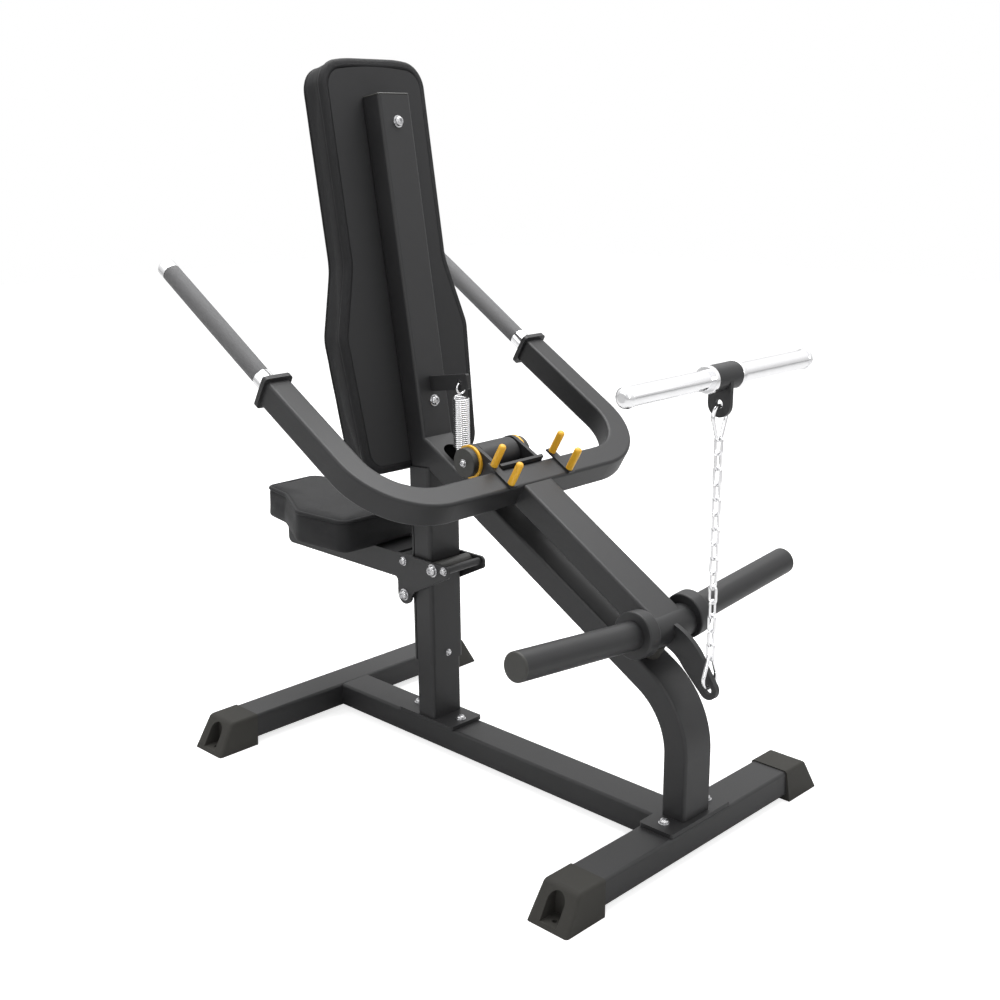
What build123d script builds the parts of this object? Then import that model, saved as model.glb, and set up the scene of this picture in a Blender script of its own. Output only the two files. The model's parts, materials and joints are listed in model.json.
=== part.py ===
from build123d import *
import math
import os

# Seated dip machine with a plate-loaded lever, a rail-guided seat and a pull bar on a chain.
# Millimetres. +Z is up, +X is the user's left, the user faces -Y and the weights hang at +Y.
# Inside this file Y = 0 is the pivot's line, midway between the floor crossbars, and Z = 0
# is the floor. save() moves the whole machine along Y so that the written parts have their
# origin in the middle of the machine's length, on the floor.

# ------------------------------------------------------------------ driving dimensions
# Frame tube
TUBE_W = 75.0
TUBE_D = 50.0
TUBE_WALL = 3.0
TUBE_R = 6.0
PLATE_T = 8.0

# Floor base
CROSSBAR_Y = 471.7
CROSSBAR_HALF = 316.0
TUBE_FLOOR_GAP = 12.0
FOOT_OUTER_X = 362.0
FOOT_TOP_OUTER_X = 325.0
FOOT_INNER_X = 269.0
FOOT_TOP_INNER_X = 262.0
FOOT_WIDTH = 89.0
FOOT_TOP_WIDTH = 79.0
FOOT_COVER = 2.0
FOOT_BROW_R = 12.0
FOOT_CORNER_R = 6.0
FLANK_FACING = 0.9
ARCH_WIDTH = 36.0
ARCH_TOP_Z = 57.0
ARCH_FLOOR_Z = 7.0
ARCH_WALL = 4.0
FLOOR_BOLT_X = 341.0
FLOOR_BOLT_R = 4.5

# Cutters run this far past the face they cut
CUT_PAST = 1.0
# How far off a face's middle may be and still count as lying on a plane, or at a height
ON_PLANE_NEAR = 0.01
HEIGHT_NEAR = 1.0

# Fasteners: a bolt's head takes its shape as shares of its washer's radius
BOLT_WASHER_SHARE = 0.16
BOLT_HEAD_SHARE = 0.82
BOLT_HEIGHT_SHARE = 0.62
BOLT_DOME_SHARE = 0.7
BOLT_SOCKET_SHARE = 0.42
BOLT_TAIL = 6.0
BOLT_TIP_GAP = 1.0
PLATE_WASHER_R = 10.5
PAD_WASHER_R = 11.0
SEAT_WASHER_R = 9.0
HUB_WASHER_R = 7.5
SLEEVE_WASHER_R = 7.0
RELEASE_WASHER_R = 8.5
SPACER_WASHER_R = 9.0
BOLT_PLAY = 0.25
POST_BOLT_R = 5.0
SLEEVE_BOLT_R = 4.0
PAD_BOLT_R = 4.0
HUB_BOLT_R = 5.0
BOLT_THREAD_IN = 12.0

# Post
POST_Y = -162.0
POST_PLATE_X = 84.0
POST_PLATE_Y = 160.0
POST_BOLT_SPAN = 124.0
STUB_TOP_Z = 330.0
SLEEVE_WALL = 4.0
SLEEVE_BOTTOM_Z = 190.0
SLEEVE_R = 8.0
SLEEVE_BORE_R = 4.0
SLEEVE_BOLT_Z = 207.0
GROOVE_FROM_FRONT = 11.5
GROOVE_W = 3.0
GROOVE_DEPTH = 1.5
KNEE_Z = 594.0
POST_TILT = 9.0
UPPER_POST_LENGTH = 693.5
CAP_T = 3.0
CAP_BEVEL = 1.2
CAP_SKIRT_T = 3.0
CAP_SKIRT_DEPTH = 12.0

# Main beam: slopes down from the post, then bends into the rear leg
BEAM_SLOPE = 30.0
BEAM_BEND_R = 146.0
BEAM_PLATE_X = 172.0
BEAM_PLATE_Y = 72.0
BEAM_BOLT_SPAN = 120.0
SLOT_W = 44.0
SLOT_FRONT_Y = -121.0
SLOT_REAR_Y = 0.0

# Lever pivot
PIVOT_Z = 635.0
PIVOT_OVER_BEAM = 57.0
HOUSING_R = 30.0
HOUSING_HALF = 44.0
HOUSING_BORE_R = 21.0
BUSH_DEPTH = 20.0
SHAFT_R = 12.5
RUN_GAP = 0.05
SIDE_GAP = 0.3
BUSH_FLANGE_T = 3.2
BUSH_FLANGE_R = 25.0
CHEEK_X = 29.0
CHEEK_T = 6.0
CHEEK_HALF = 34.0

# Lever, in its own plane: s runs rearward down the slope, n stands off it
LEVER_SLOPE = 30.66
LEVER_TOP_N = 36.1
EAR_T = 8.0
EAR_R = 31.5
BRACKET_PLATE_T = 6.0
BRACKET_RISE = 8.0
BRACKET_DROP = 30.0
CROSS_FRONT_S = 66.0
U_TUBE = 50.0
U_ARM_X = 329.0
U_BEND_R = 125.0
U_ARM_FRONT_S = -255.0
LEVER_ARM_END_S = 468.0
RING_R = 31.5
RING_T = 6.0
RING_EDGE_R = 1.5
HUB_CAP_R = 27.5
HUB_CAP_T = 13.0
HUB_CAP_EDGE_R = 2.5
LUG_T = 8.0
LUG_INNER_R = 34.0
LUG_OUTER_R = 50.0
LUG_EYE_R = 11.0
LUG_ROOT_ANGLE = -36.0

# Handles
FLANGE_W = 61.0
FLANGE_H = 66.0
FLANGE_T = 9.0
FLANGE_CORNER_R = 8.0
HANDLE_R = 14.0
HANDLE_WALL = 2.5
GRIP_R = 17.5
GRIP_RISE = 1.1
COLLAR_LENGTH = 34.0
GRIP_LENGTH = 312.0
GRIP_CAP_T = 25.0
GRIP_DOME_SHARE = 0.45

# Pull bar cradle on the lever
CRADLE_LEFT_X = 65.5
CRADLE_RIGHT_X = -89.5
STRAP_W = 16.0
STRAP_T = 4.0
PEG_R = 7.0
PEG_LENGTH = 48.0
PEG_DOME_SHARE = 0.75
PEG_FRONT_S = 57.0
PEG_MARGIN = 9.0

# Collar on the handle
COLLAR_R = 18.5
COLLAR_GAP = 6.0
COLLAR_BEVEL = 1.0

# Weight pegs
WEIGHT_Y = 410.8
WEIGHT_Z = 399.2
WEIGHT_TILT = 5.6
WEIGHT_R = 25.0
WEIGHT_ROOT_R = 24.0
WEIGHT_WALL = 3.0
WEIGHT_END_X = 366.7
WEIGHT_TUBE_R = 30.0
WEIGHT_TUBE_WALL = 4.0
STOP_COLLAR_X = 57.0
STOP_COLLAR_R = 41.5
STOP_COLLAR_T = 28.0
STOP_COLLAR_EDGE_R = 3.0
WEIGHT_CAP_T = 5.0
WEIGHT_CAP_EDGE_R = 3.0
WEIGHT_PLUG_DEPTH = 15.0
BUMPER_R = 21.0
BUMPER_BEVEL = 2.0

# Tail: the curved arm that the chain hooks on to
TAIL_T = 10.0
TAIL_ARC_Y = 400.0
TAIL_ARC_Z = 300.0
TAIL_OUTER_R = 119.0
TAIL_INNER_R = 72.0
TAIL_START_ANGLE = 100.0
TAIL_OUTER_ANGLE = 26.0
TAIL_INNER_ANGLE = 34.0
TAIL_EYE_Y = 512.0
TAIL_EYE_Z = 314.0
TAIL_EYE_R = 18.0
TAIL_HOLE_R = 8.0

# Return spring
SPRING_Y = -82.0
SPRING_HOLE_Z = 765.0
SPRING_TAB_T = 8.0
SPRING_TAB_H = 29.0
SPRING_TAB_EDGE = 22.0
SPRING_TAB_R = 4.0
SPRING_HOLE_R = 5.0
SPRING_R = 16.5
SPRING_WIRE_R = 2.0
SPRING_TOP_DROP = 28.0
SPRING_BOTTOM_Z = 636.0
SPRING_RIBS = 16
SPRING_LOOP_R = 10.0
SPRING_SEAT = 1.1
SPRING_END_T = 3.0
SPRING_LUG_Z = 610.0

# Back pad: heights run up the tilted post from the knee, half widths run across
PAD_BOTTOM = -2.5
PAD_TOP = 764.5
PAD_TOP_DOME = 12.0
PAD_DEPTH = 65.0
PAD_LIP = 5.0
PAD_BOARD_T = 14.0
PAD_INSET = 16.0
PAD_EDGE_R = 12.0
PAD_LOW_HALF = 146.0
PAD_HIP_HALF = 163.0
PAD_HIP_H = 262.0
PAD_SHOULDER_HALF = 127.0
PAD_WAIST_H = 392.0
PAD_LOW_R = 48.0
PAD_HIP_R = 60.0
PAD_WAIST_R = 120.0
PAD_TOP_R = 50.0
PAD_BOLT_LOW = 124.0
PAD_BOLT_HIGH = 642.0

# Seat: a saddle that is wide at the back and narrows to a nose
SEAT_BOTTOM_Z = 411.0
SEAT_TOP_Z = 482.0
SEAT_BOARD_T = 12.0
SEAT_NOSE_Y = -633.0
SEAT_REAR_Y = -278.0
SEAT_REAR_HALF = 138.0
SEAT_HALF = 151.0
SEAT_WIDE_Y = -418.0
SEAT_NECK_HALF = 84.0
SEAT_NECK_Y = -542.0
SEAT_NOSE_HALF = 68.0
SEAT_REAR_R = 26.0
SEAT_WIDE_R = 45.0
SEAT_NECK_R = 90.0
SEAT_NOSE_R = 26.0
SEAT_LIP = 2.0
SEAT_INSET = 14.0
SEAT_EDGE_R = 16.0

# Seat carriage
CARRIAGE_GAP = 3.5
CARRIAGE_T = 5.0
CARRIAGE_ARM_FRONT_Y = -580.0
CARRIAGE_ARM_H = 51.0
CARRIAGE_REAR_Y = -73.0
CARRIAGE_REAR_H = 22.0
CARRIAGE_WAIST_Y = -174.0
CARRIAGE_WAIST_H = 73.0
CARRIAGE_LOBE_R = 20.0
CARRIAGE_FRONT_R = 12.0
CARRIAGE_STEP_R = 8.0
CARRIAGE_REAR_R = 10.0
REAR_ROLLER_R = 15.0
REAR_ROLLER_Z = 396.0
REAR_AXLE_HEAD_R = 13.0
FRONT_ROLLER_R = 11.7
FRONT_ROLLER_Z = 327.0
FRONT_AXLE_HEAD_R = 12.0
ROLLER_GAP = 0.2
AXLE_R = 6.0
RELEASE_R = 7.5
RELEASE_Y = -86.0
RELEASE_Z = 401.0
SPACER_R = 8.0
SPACER_Y = -203.0
SPACER_Z = 397.0
WEB_T = 5.0
WEB_SETBACK = 10.0
WEB_REAR_Y = -226.0
SEAT_BOLT_R = 4.0
SEAT_BOLT_YS = (-345.0, -490.0)

# Chain and pull bar
CHAIN_WIRE_R = 2.5
CHAIN_PITCH = 25.2
CHAIN_INNER_HALF = 4.0
CHAIN_LINKS = 15
CHAIN_PLAY = 0.1
HOOK_LENGTH = 63.0
HOOK_WIRE_R = 3.5
HOOK_BIG_R = 17.5
HOOK_SMALL_R = 6.5
HOOK_GATE_R = 2.8
HOOK_GATE_PLAY = 0.5
HOOK_SEAT_DROP = 1.2
TAB_T = 8.0
TAB_W = 43.0
TAB_HOLE_R = 7.5
TAB_EYE_DROP = 43.0
SWIVEL_R = 21.8
SWIVEL_HALF = 31.0
BAR_R = 16.0
BAR_WALL = 3.0
BAR_HALF = 245.0
BAR_CAP_R = 17.2
BAR_CAP_T = 14.0
BAR_DOME_SHARE = 0.6
BAR_RING_R = 22.5
BAR_RING_T = 9.0
BAR_RING_EDGE_R = 2.0

# ------------------------------------------------------------------ worked-out places
TUBE_TOP_Z = TUBE_FLOOR_GAP + TUBE_D
PLATE_TOP_Z = TUBE_TOP_Z + PLATE_T
ARCH_BACK_X = CROSSBAR_HALF + ARCH_WALL
SLEEVE_W = TUBE_W + 2 * SLEEVE_WALL
SLEEVE_D = TUBE_D + 2 * SLEEVE_WALL
CARRIAGE_X = SLEEVE_W / 2 + CARRIAGE_GAP
SLEEVE_REAR_Y = POST_Y + SLEEVE_D / 2
SLEEVE_FRONT_Y = POST_Y - SLEEVE_D / 2
EAR_INNER_X = HOUSING_HALF + BUSH_FLANGE_T + SIDE_GAP
EAR_OUTER_X = EAR_INNER_X + EAR_T
RING_OUTER_X = EAR_OUTER_X + RING_T
U_CENTRE_N = LEVER_TOP_N - U_TUBE / 2
U_CENTRE_S = CROSS_FRONT_S + U_TUBE / 2
CROSS_REAR_S = CROSS_FRONT_S + U_TUBE
SPRING_TOP_Z = SPRING_HOLE_Z - SPRING_TOP_DROP

BEAM = math.radians(BEAM_SLOPE)
BEAM_DIR = Vector(0, math.cos(BEAM), -math.sin(BEAM))
BEAM_UP = Vector(0, math.sin(BEAM), math.cos(BEAM))
PIVOT = Vector(0, 0, PIVOT_Z)
BEAM_TOP_FOOT = PIVOT - BEAM_UP * PIVOT_OVER_BEAM
BEAM_MID_FOOT = BEAM_TOP_FOOT - BEAM_UP * (TUBE_D / 2)
BEND_CENTRE_Y = CROSSBAR_Y - BEAM_BEND_R
BEND_RUN = (BEND_CENTRE_Y - BEAM_MID_FOOT.Y) * math.sin(BEAM)
BEND_CENTRE_Z = BEAM_MID_FOOT.Z - (BEND_RUN + BEAM_BEND_R) / math.cos(BEAM)
BEND_CENTRE = Vector(0, BEND_CENTRE_Y, BEND_CENTRE_Z)

LEVER = math.radians(LEVER_SLOPE)
LEVER_PLANE = Plane(
    origin=PIVOT,
    x_dir=(1, 0, 0),
    z_dir=(0, math.sin(LEVER), math.cos(LEVER)),
)

TILT = math.radians(POST_TILT)
POST_DIR = Vector(0, -math.sin(TILT), math.cos(TILT))
POST_FRONT_DIR = Vector(0, -math.cos(TILT), -math.sin(TILT))
KNEE = Vector(0, POST_Y, KNEE_Z)
MITRE = Plane(
    origin=KNEE,
    x_dir=(1, 0, 0),
    z_dir=(0, -math.sin(TILT / 2), math.cos(TILT / 2)),
)
# Back pad plane: local x across, local y up the post, local z towards the user's back
PAD_ORIGIN = KNEE + POST_FRONT_DIR * (TUBE_D / 2)
PAD_PLANE = Plane(origin=PAD_ORIGIN, x_dir=(1, 0, 0), z_dir=POST_FRONT_DIR)

REAR_ROLLER_Y = SLEEVE_REAR_Y + REAR_ROLLER_R + ROLLER_GAP
FRONT_ROLLER_Y = SLEEVE_FRONT_Y - FRONT_ROLLER_R - ROLLER_GAP

HOOK_LOW_Z = TAIL_EYE_Z + TAIL_HOLE_R - HOOK_WIRE_R - HOOK_SEAT_DROP
HOOK_SPAN = HOOK_LENGTH - 2 * HOOK_WIRE_R
LINK_INNER_HALF = (CHAIN_PITCH + CHAIN_PLAY) / 2
HOOK_TO_LINK = LINK_INNER_HALF - HOOK_WIRE_R - CHAIN_PLAY
FIRST_LINK_Z = HOOK_LOW_Z + HOOK_SPAN + HOOK_TO_LINK
LAST_LINK_Z = FIRST_LINK_Z + CHAIN_PITCH * (CHAIN_LINKS - 1)
HOOK_HIGH_Z = LAST_LINK_Z + HOOK_TO_LINK + HOOK_SPAN
TAB_EYE_Z = HOOK_HIGH_Z + TAB_HOLE_R - HOOK_WIRE_R - HOOK_SEAT_DROP
BAR_Z = TAB_EYE_Z + TAB_EYE_DROP

TAIL_END_Y = TAIL_EYE_Y + BAR_RING_R
ORIGIN_Y = (SEAT_NOSE_Y + TAIL_END_Y) / 2
TO_ORIGIN = Pos(0, -ORIGIN_Y, 0)


# ------------------------------------------------------------------ shared shapes
def save(node, shape):
    export_step(TO_ORIGIN * shape, f"parts/{node}.step")


def one_solid(shape):
    """The largest solid of a trimmed shape, without the offcuts."""
    return max(shape.solids(), key=lambda solid: solid.volume)


def tube_section(width, depth, wall, corner):
    outer = RectangleRounded(width, depth, corner)
    inner = RectangleRounded(width - 2 * wall, depth - 2 * wall, corner - wall / 2)
    return outer - inner


def tube_between(start, end, x_dir, width=TUBE_W, depth=TUBE_D, wall=TUBE_WALL, corner=TUBE_R):
    """A straight box-section tube. Its width lies along x_dir."""
    run = Vector(end) - Vector(start)
    plane = Plane(origin=start, x_dir=x_dir, z_dir=run)
    return extrude(plane * tube_section(width, depth, wall, corner), amount=run.length)


def bar_between(start, end, x_dir, width, depth, corner):
    """The solid that a box-section tube would fill."""
    run = Vector(end) - Vector(start)
    plane = Plane(origin=start, x_dir=x_dir, z_dir=run)
    return extrude(plane * RectangleRounded(width, depth, corner), amount=run.length)


def rod(start, end, radius, bore=0.0):
    run = Vector(end) - Vector(start)
    section = Circle(radius)
    if bore:
        section -= Circle(bore)
    return extrude(Plane(origin=start, z_dir=run) * section, amount=run.length)


def block(x_span, y_span, z_span):
    size = [high - low for low, high in (x_span, y_span, z_span)]
    middle = [(high + low) / 2 for low, high in (x_span, y_span, z_span)]
    return Pos(*middle) * Box(*size)


def bolt(plane, head_r, shank_r, grip):
    """A button-head bolt on a washer. The plane lies on the seat, its normal points out."""
    washer_t = head_r * BOLT_WASHER_SHARE
    head_h = head_r * BOLT_HEIGHT_SHARE
    cap = Cylinder(head_r * BOLT_HEAD_SHARE, head_h, align=(Align.CENTER, Align.CENTER, Align.MIN))
    cap = fillet(cap.edges().group_by(Axis.Z)[-1], head_h * BOLT_DOME_SHARE)
    cap -= Pos(0, 0, head_h / 2) * extrude(RegularPolygon(head_r * BOLT_SOCKET_SHARE, 6), amount=head_h)
    washer = extrude(Circle(head_r), amount=washer_t)
    shank = extrude(Circle(shank_r), amount=-grip)
    return plane.location * (Pos(0, 0, washer_t) * cap + washer + shank)


def bolt_hole(plane, shank_r, grip):
    """The clearance hole of a bolt. It runs a little past both faces."""
    return extrude(plane.offset(CUT_PAST) * Circle(shank_r + BOLT_PLAY), amount=-(grip + 2 * CUT_PAST))


def all_of(shapes):
    return Compound([solid for shape in shapes for solid in shape.solids()])


def mirror_x(shape):
    return mirror(shape, about=Plane.YZ)


# ------------------------------------------------------------------ floor base
def crossbar(side):
    y = side * CROSSBAR_Y
    z = TUBE_FLOOR_GAP + TUBE_D / 2
    return tube_between((-CROSSBAR_HALF, y, z), (CROSSBAR_HALF, y, z), (0, 1, 0))


def base_rail():
    z = TUBE_FLOOR_GAP + TUBE_D / 2
    reach = CROSSBAR_Y - TUBE_W / 2
    rail = tube_between((0, -reach, z), (0, reach, z), (1, 0, 0))
    for plane in post_bolt_planes():
        rail -= bolt_hole(plane, POST_BOLT_R, PLATE_T + TUBE_WALL)
    return rail


def foot(side_x, side_y):
    """A moulded end boot: it wraps the crossbar's end under a rounded brow, and has an arched recess."""
    top_z = TUBE_TOP_Z + FOOT_COVER
    sole = Rectangle(FOOT_OUTER_X - FOOT_INNER_X, FOOT_WIDTH)
    crown = Rectangle(FOOT_TOP_OUTER_X - FOOT_TOP_INNER_X, FOOT_TOP_WIDTH)
    boot = loft([
        Pos((FOOT_OUTER_X + FOOT_INNER_X) / 2, 0, 0) * sole,
        Pos((FOOT_TOP_OUTER_X + FOOT_TOP_INNER_X) / 2, 0, top_z) * crown,
    ])
    top_rim = boot.faces().sort_by(Axis.Z)[-1].edges()
    boot = fillet(top_rim.sort_by(Axis.X)[-1], FOOT_BROW_R)
    flanks = [face for face in boot.faces() if abs(face.normal_at().Y) > FLANK_FACING]
    flank_rims = ShapeList(edge for face in flanks for edge in face.edges())
    off_the_sole = flank_rims.filter_by(lambda edge: edge.center().Z > HEIGHT_NEAR)
    boot = fillet(off_the_sole.filter_by(lambda edge: edge.center().X > FOOT_INNER_X), FOOT_CORNER_R)
    middle_z = TUBE_FLOOR_GAP + TUBE_D / 2
    boot -= bar_between((0, 0, middle_z), (CROSSBAR_HALF, 0, middle_z), (0, 1, 0), TUBE_W, TUBE_D, TUBE_R)
    arch_r = ARCH_WIDTH / 2
    arch_z = ARCH_TOP_Z - arch_r
    arch_end = FOOT_OUTER_X + CUT_PAST
    arch = block((ARCH_BACK_X, arch_end), (-arch_r, arch_r), (ARCH_FLOOR_Z, arch_z))
    arch += rod((ARCH_BACK_X, 0, arch_z), (arch_end, 0, arch_z), arch_r)
    boot -= arch
    boot -= rod((FLOOR_BOLT_X, 0, -CUT_PAST), (FLOOR_BOLT_X, 0, ARCH_FLOOR_Z + CUT_PAST), FLOOR_BOLT_R)
    boot = one_solid(boot)
    if side_x < 0:
        boot = mirror_x(boot)
    return Pos(0, side_y * CROSSBAR_Y, 0) * boot


# ------------------------------------------------------------------ post
def post_bolt_planes():
    return [
        Plane(origin=(0, POST_Y + step * POST_BOLT_SPAN / 2, PLATE_TOP_Z))
        for step in (-1, 1)
    ]


def post_plate():
    plate = extrude(
        Plane(origin=(0, POST_Y, TUBE_TOP_Z)) * RectangleRounded(POST_PLATE_X, POST_PLATE_Y, TUBE_R),
        amount=PLATE_T,
    )
    for plane in post_bolt_planes():
        plate -= bolt_hole(plane, POST_BOLT_R, PLATE_T)
    return plate


def post_bolts():
    grip = PLATE_T + TUBE_WALL + BOLT_TAIL
    return [bolt(plane, PLATE_WASHER_R, POST_BOLT_R, grip) for plane in post_bolt_planes()]


def sleeve_bolt_plane():
    return Plane(origin=(0, SLEEVE_REAR_Y, SLEEVE_BOLT_Z), x_dir=(1, 0, 0), z_dir=(0, 1, 0))


def post_stub():
    stub = tube_between((0, POST_Y, PLATE_TOP_Z), (0, POST_Y, STUB_TOP_Z), (1, 0, 0))
    return stub - bolt_hole(sleeve_bolt_plane(), SLEEVE_BOLT_R, SLEEVE_WALL + TUBE_WALL)


def post_sleeve():
    """The outer post tube: it slips over the stub and is closed at the knee."""
    foot_point = (0, POST_Y, SLEEVE_BOTTOM_Z)
    above_knee = (0, POST_Y, KNEE_Z + TUBE_D)
    outer = bar_between(foot_point, above_knee, (1, 0, 0), SLEEVE_W, SLEEVE_D, SLEEVE_R)
    outer = split(outer, bisect_by=MITRE, keep=Keep.BOTTOM)
    below_foot = (0, POST_Y, SLEEVE_BOTTOM_Z - CUT_PAST)
    inner = bar_between(below_foot, above_knee, (1, 0, 0), TUBE_W, TUBE_D, SLEEVE_BORE_R)
    inner = split(inner, bisect_by=MITRE.offset(-SLEEVE_WALL), keep=Keep.BOTTOM)
    sleeve = outer - inner
    groove_y = SLEEVE_FRONT_Y + GROOVE_FROM_FRONT
    groove_x = SLEEVE_W / 2 - GROOVE_DEPTH
    for side in (-1, 1):
        x_span = sorted((side * groove_x, side * (SLEEVE_W / 2 + CUT_PAST)))
        y_span = (groove_y - GROOVE_W / 2, groove_y + GROOVE_W / 2)
        sleeve -= block(x_span, y_span, (SLEEVE_BOTTOM_Z - CUT_PAST, KNEE_Z - SLEEVE_D))
    return one_solid(sleeve - bolt_hole(sleeve_bolt_plane(), SLEEVE_BOLT_R, SLEEVE_WALL))


def upper_post():
    top = KNEE + POST_DIR * (UPPER_POST_LENGTH - CAP_T)
    start = KNEE - POST_DIR * TUBE_D
    post = tube_between(start, top, (1, 0, 0))
    post = split(post, bisect_by=MITRE, keep=Keep.TOP)
    for height in (PAD_BOLT_LOW, PAD_BOLT_HIGH):
        post -= bolt_hole(pad_bolt_plane(height), PAD_BOLT_R, TUBE_D)
    return one_solid(post)


def post_envelope():
    top = KNEE + POST_DIR * UPPER_POST_LENGTH
    start = KNEE - POST_DIR * TUBE_D
    tilted = bar_between(start, top, (1, 0, 0), TUBE_W, TUBE_D, TUBE_R)
    tilted = split(tilted, bisect_by=MITRE, keep=Keep.TOP)
    lower = bar_between(
        (0, POST_Y, SLEEVE_BOTTOM_Z), (0, POST_Y, KNEE_Z + TUBE_D), (1, 0, 0), SLEEVE_W, SLEEVE_D, SLEEVE_R
    )
    return tilted + split(lower, bisect_by=MITRE, keep=Keep.BOTTOM)


def post_cap():
    """A moulded plug: its lid sits on the post's end and its skirt goes inside."""
    top = KNEE + POST_DIR * (UPPER_POST_LENGTH - CAP_T)
    plane = Plane(origin=top, x_dir=(1, 0, 0), z_dir=POST_DIR)
    lid = extrude(plane * RectangleRounded(TUBE_W, TUBE_D, TUBE_R), amount=CAP_T)
    lid = chamfer(lid.faces().sort_by(Axis.Z)[-1].edges(), CAP_BEVEL)
    inner_w = TUBE_W - 2 * TUBE_WALL
    inner_d = TUBE_D - 2 * TUBE_WALL
    skirt_r = TUBE_R - TUBE_WALL / 2
    skirt = tube_section(inner_w, inner_d, CAP_SKIRT_T, skirt_r)
    return lid + extrude(plane * skirt, amount=-CAP_SKIRT_DEPTH)


# ------------------------------------------------------------------ main beam
def beam_bolt_planes():
    return [
        Plane(origin=(step * BEAM_BOLT_SPAN / 2, CROSSBAR_Y, PLATE_TOP_Z))
        for step in (-1, 1)
    ]


def main_beam():
    """Box tube from the post down the slope, round the bend and down to its floor plate."""
    start = BEAM_MID_FOOT - BEAM_DIR * (-POST_Y / math.cos(BEAM))
    bend_in = BEND_CENTRE + BEAM_UP * BEAM_BEND_R
    half_turn = math.radians((90 - BEAM_SLOPE) / 2)
    bend_mid = BEND_CENTRE + Vector(0, math.cos(half_turn), math.sin(half_turn)) * BEAM_BEND_R
    bend_out = BEND_CENTRE + Vector(0, BEAM_BEND_R, 0)
    end = Vector(0, CROSSBAR_Y, PLATE_TOP_Z)
    path = Line(start, bend_in) + ThreePointArc(bend_in, bend_mid, bend_out) + Line(bend_out, end)
    plane = Plane(origin=start, x_dir=(1, 0, 0), z_dir=BEAM_DIR)
    beam = sweep(plane * tube_section(TUBE_W, TUBE_D, TUBE_WALL, TUBE_R), path=path)
    beam = one_solid(beam - post_envelope())
    return beam - beam_slot()


def beam_slot():
    """The opening in the beam's upper wall that the lug and the spring work through."""
    per_y = 1 / math.cos(BEAM)
    front = BEAM_TOP_FOOT + BEAM_DIR * ((SLOT_FRONT_Y - BEAM_TOP_FOOT.Y) * per_y)
    rear = BEAM_TOP_FOOT + BEAM_DIR * ((SLOT_REAR_Y - BEAM_TOP_FOOT.Y) * per_y)
    plane = Plane(origin=(front + rear) / 2, x_dir=BEAM_DIR, z_dir=BEAM_UP)
    outline = SlotOverall((rear - front).length, SLOT_W)
    return extrude(plane.offset(CUT_PAST) * outline, amount=-(TUBE_WALL + 2 * CUT_PAST))


def beam_plate():
    plate = extrude(
        Plane(origin=(0, CROSSBAR_Y, TUBE_TOP_Z)) * RectangleRounded(BEAM_PLATE_X, BEAM_PLATE_Y, TUBE_R),
        amount=PLATE_T,
    )
    for plane in beam_bolt_planes():
        plate -= bolt_hole(plane, POST_BOLT_R, PLATE_T)
    return plate


def beam_bolts():
    grip = PLATE_T + TUBE_WALL + BOLT_TAIL
    return [bolt(plane, PLATE_WASHER_R, POST_BOLT_R, grip) for plane in beam_bolt_planes()]


def rear_crossbar():
    bar = crossbar(1)
    for plane in beam_bolt_planes():
        bar -= bolt_hole(plane, POST_BOLT_R, PLATE_T + TUBE_WALL)
    return bar


def stop_bumper():
    """Rubber block on the beam under the weight tube: the lever rests on it."""
    tube_axis = Vector(0, WEIGHT_Y, WEIGHT_Z)
    height = (tube_axis - BEAM_TOP_FOOT).dot(BEAM_UP)
    seat = tube_axis - BEAM_UP * height
    reach = height - WEIGHT_TUBE_R - SIDE_GAP
    plane = Plane(origin=seat, x_dir=(1, 0, 0), z_dir=BEAM_UP)
    bumper = extrude(plane * Circle(BUMPER_R), amount=reach)
    return chamfer(bumper.faces().sort_by(Axis.Z)[-1].edges(), BUMPER_BEVEL)


# ------------------------------------------------------------------ pivot on the frame
def across(x_low, x_high, y, z):
    return Vector(x_low, y, z), Vector(x_high, y, z)


def pivot_housing():
    return rod(*across(-HOUSING_HALF, HOUSING_HALF, 0, PIVOT_Z), HOUSING_R, HOUSING_BORE_R)


def pivot_bushes():
    """Two flanged bushes pressed into the housing's ends."""
    bushes = []
    for side in (-1, 1):
        inner = side * (HOUSING_HALF - BUSH_DEPTH)
        face = side * HOUSING_HALF
        flange = side * (HOUSING_HALF + BUSH_FLANGE_T)
        bore = SHAFT_R + RUN_GAP
        bush = rod((inner, 0, PIVOT_Z), (face, 0, PIVOT_Z), HOUSING_BORE_R, bore)
        bush += rod((face, 0, PIVOT_Z), (flange, 0, PIVOT_Z), BUSH_FLANGE_R, bore)
        bushes.append(bush)
    return all_of(bushes)


def cheek(side):
    """One of the two plates that carry the housing on the beam, on either side of the slot."""
    inner = side * CHEEK_X
    outer = side * (CHEEK_X + CHEEK_T)
    plane = Plane(origin=(min(inner, outer), 0, PIVOT_Z), x_dir=BEAM_DIR, z_dir=(1, 0, 0))
    up = 1 if plane.y_dir.dot(BEAM_UP) > 0 else -1
    foot_y = -up * PIVOT_OVER_BEAM
    outline = Polygon(
        (-CHEEK_HALF, foot_y), (CHEEK_HALF, foot_y), (HOUSING_R, 0), (-HOUSING_R, 0), align=None
    )
    plate = extrude(plane * (outline - Circle(HOUSING_R)), amount=CHEEK_T)
    return one_solid(plate)


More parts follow.
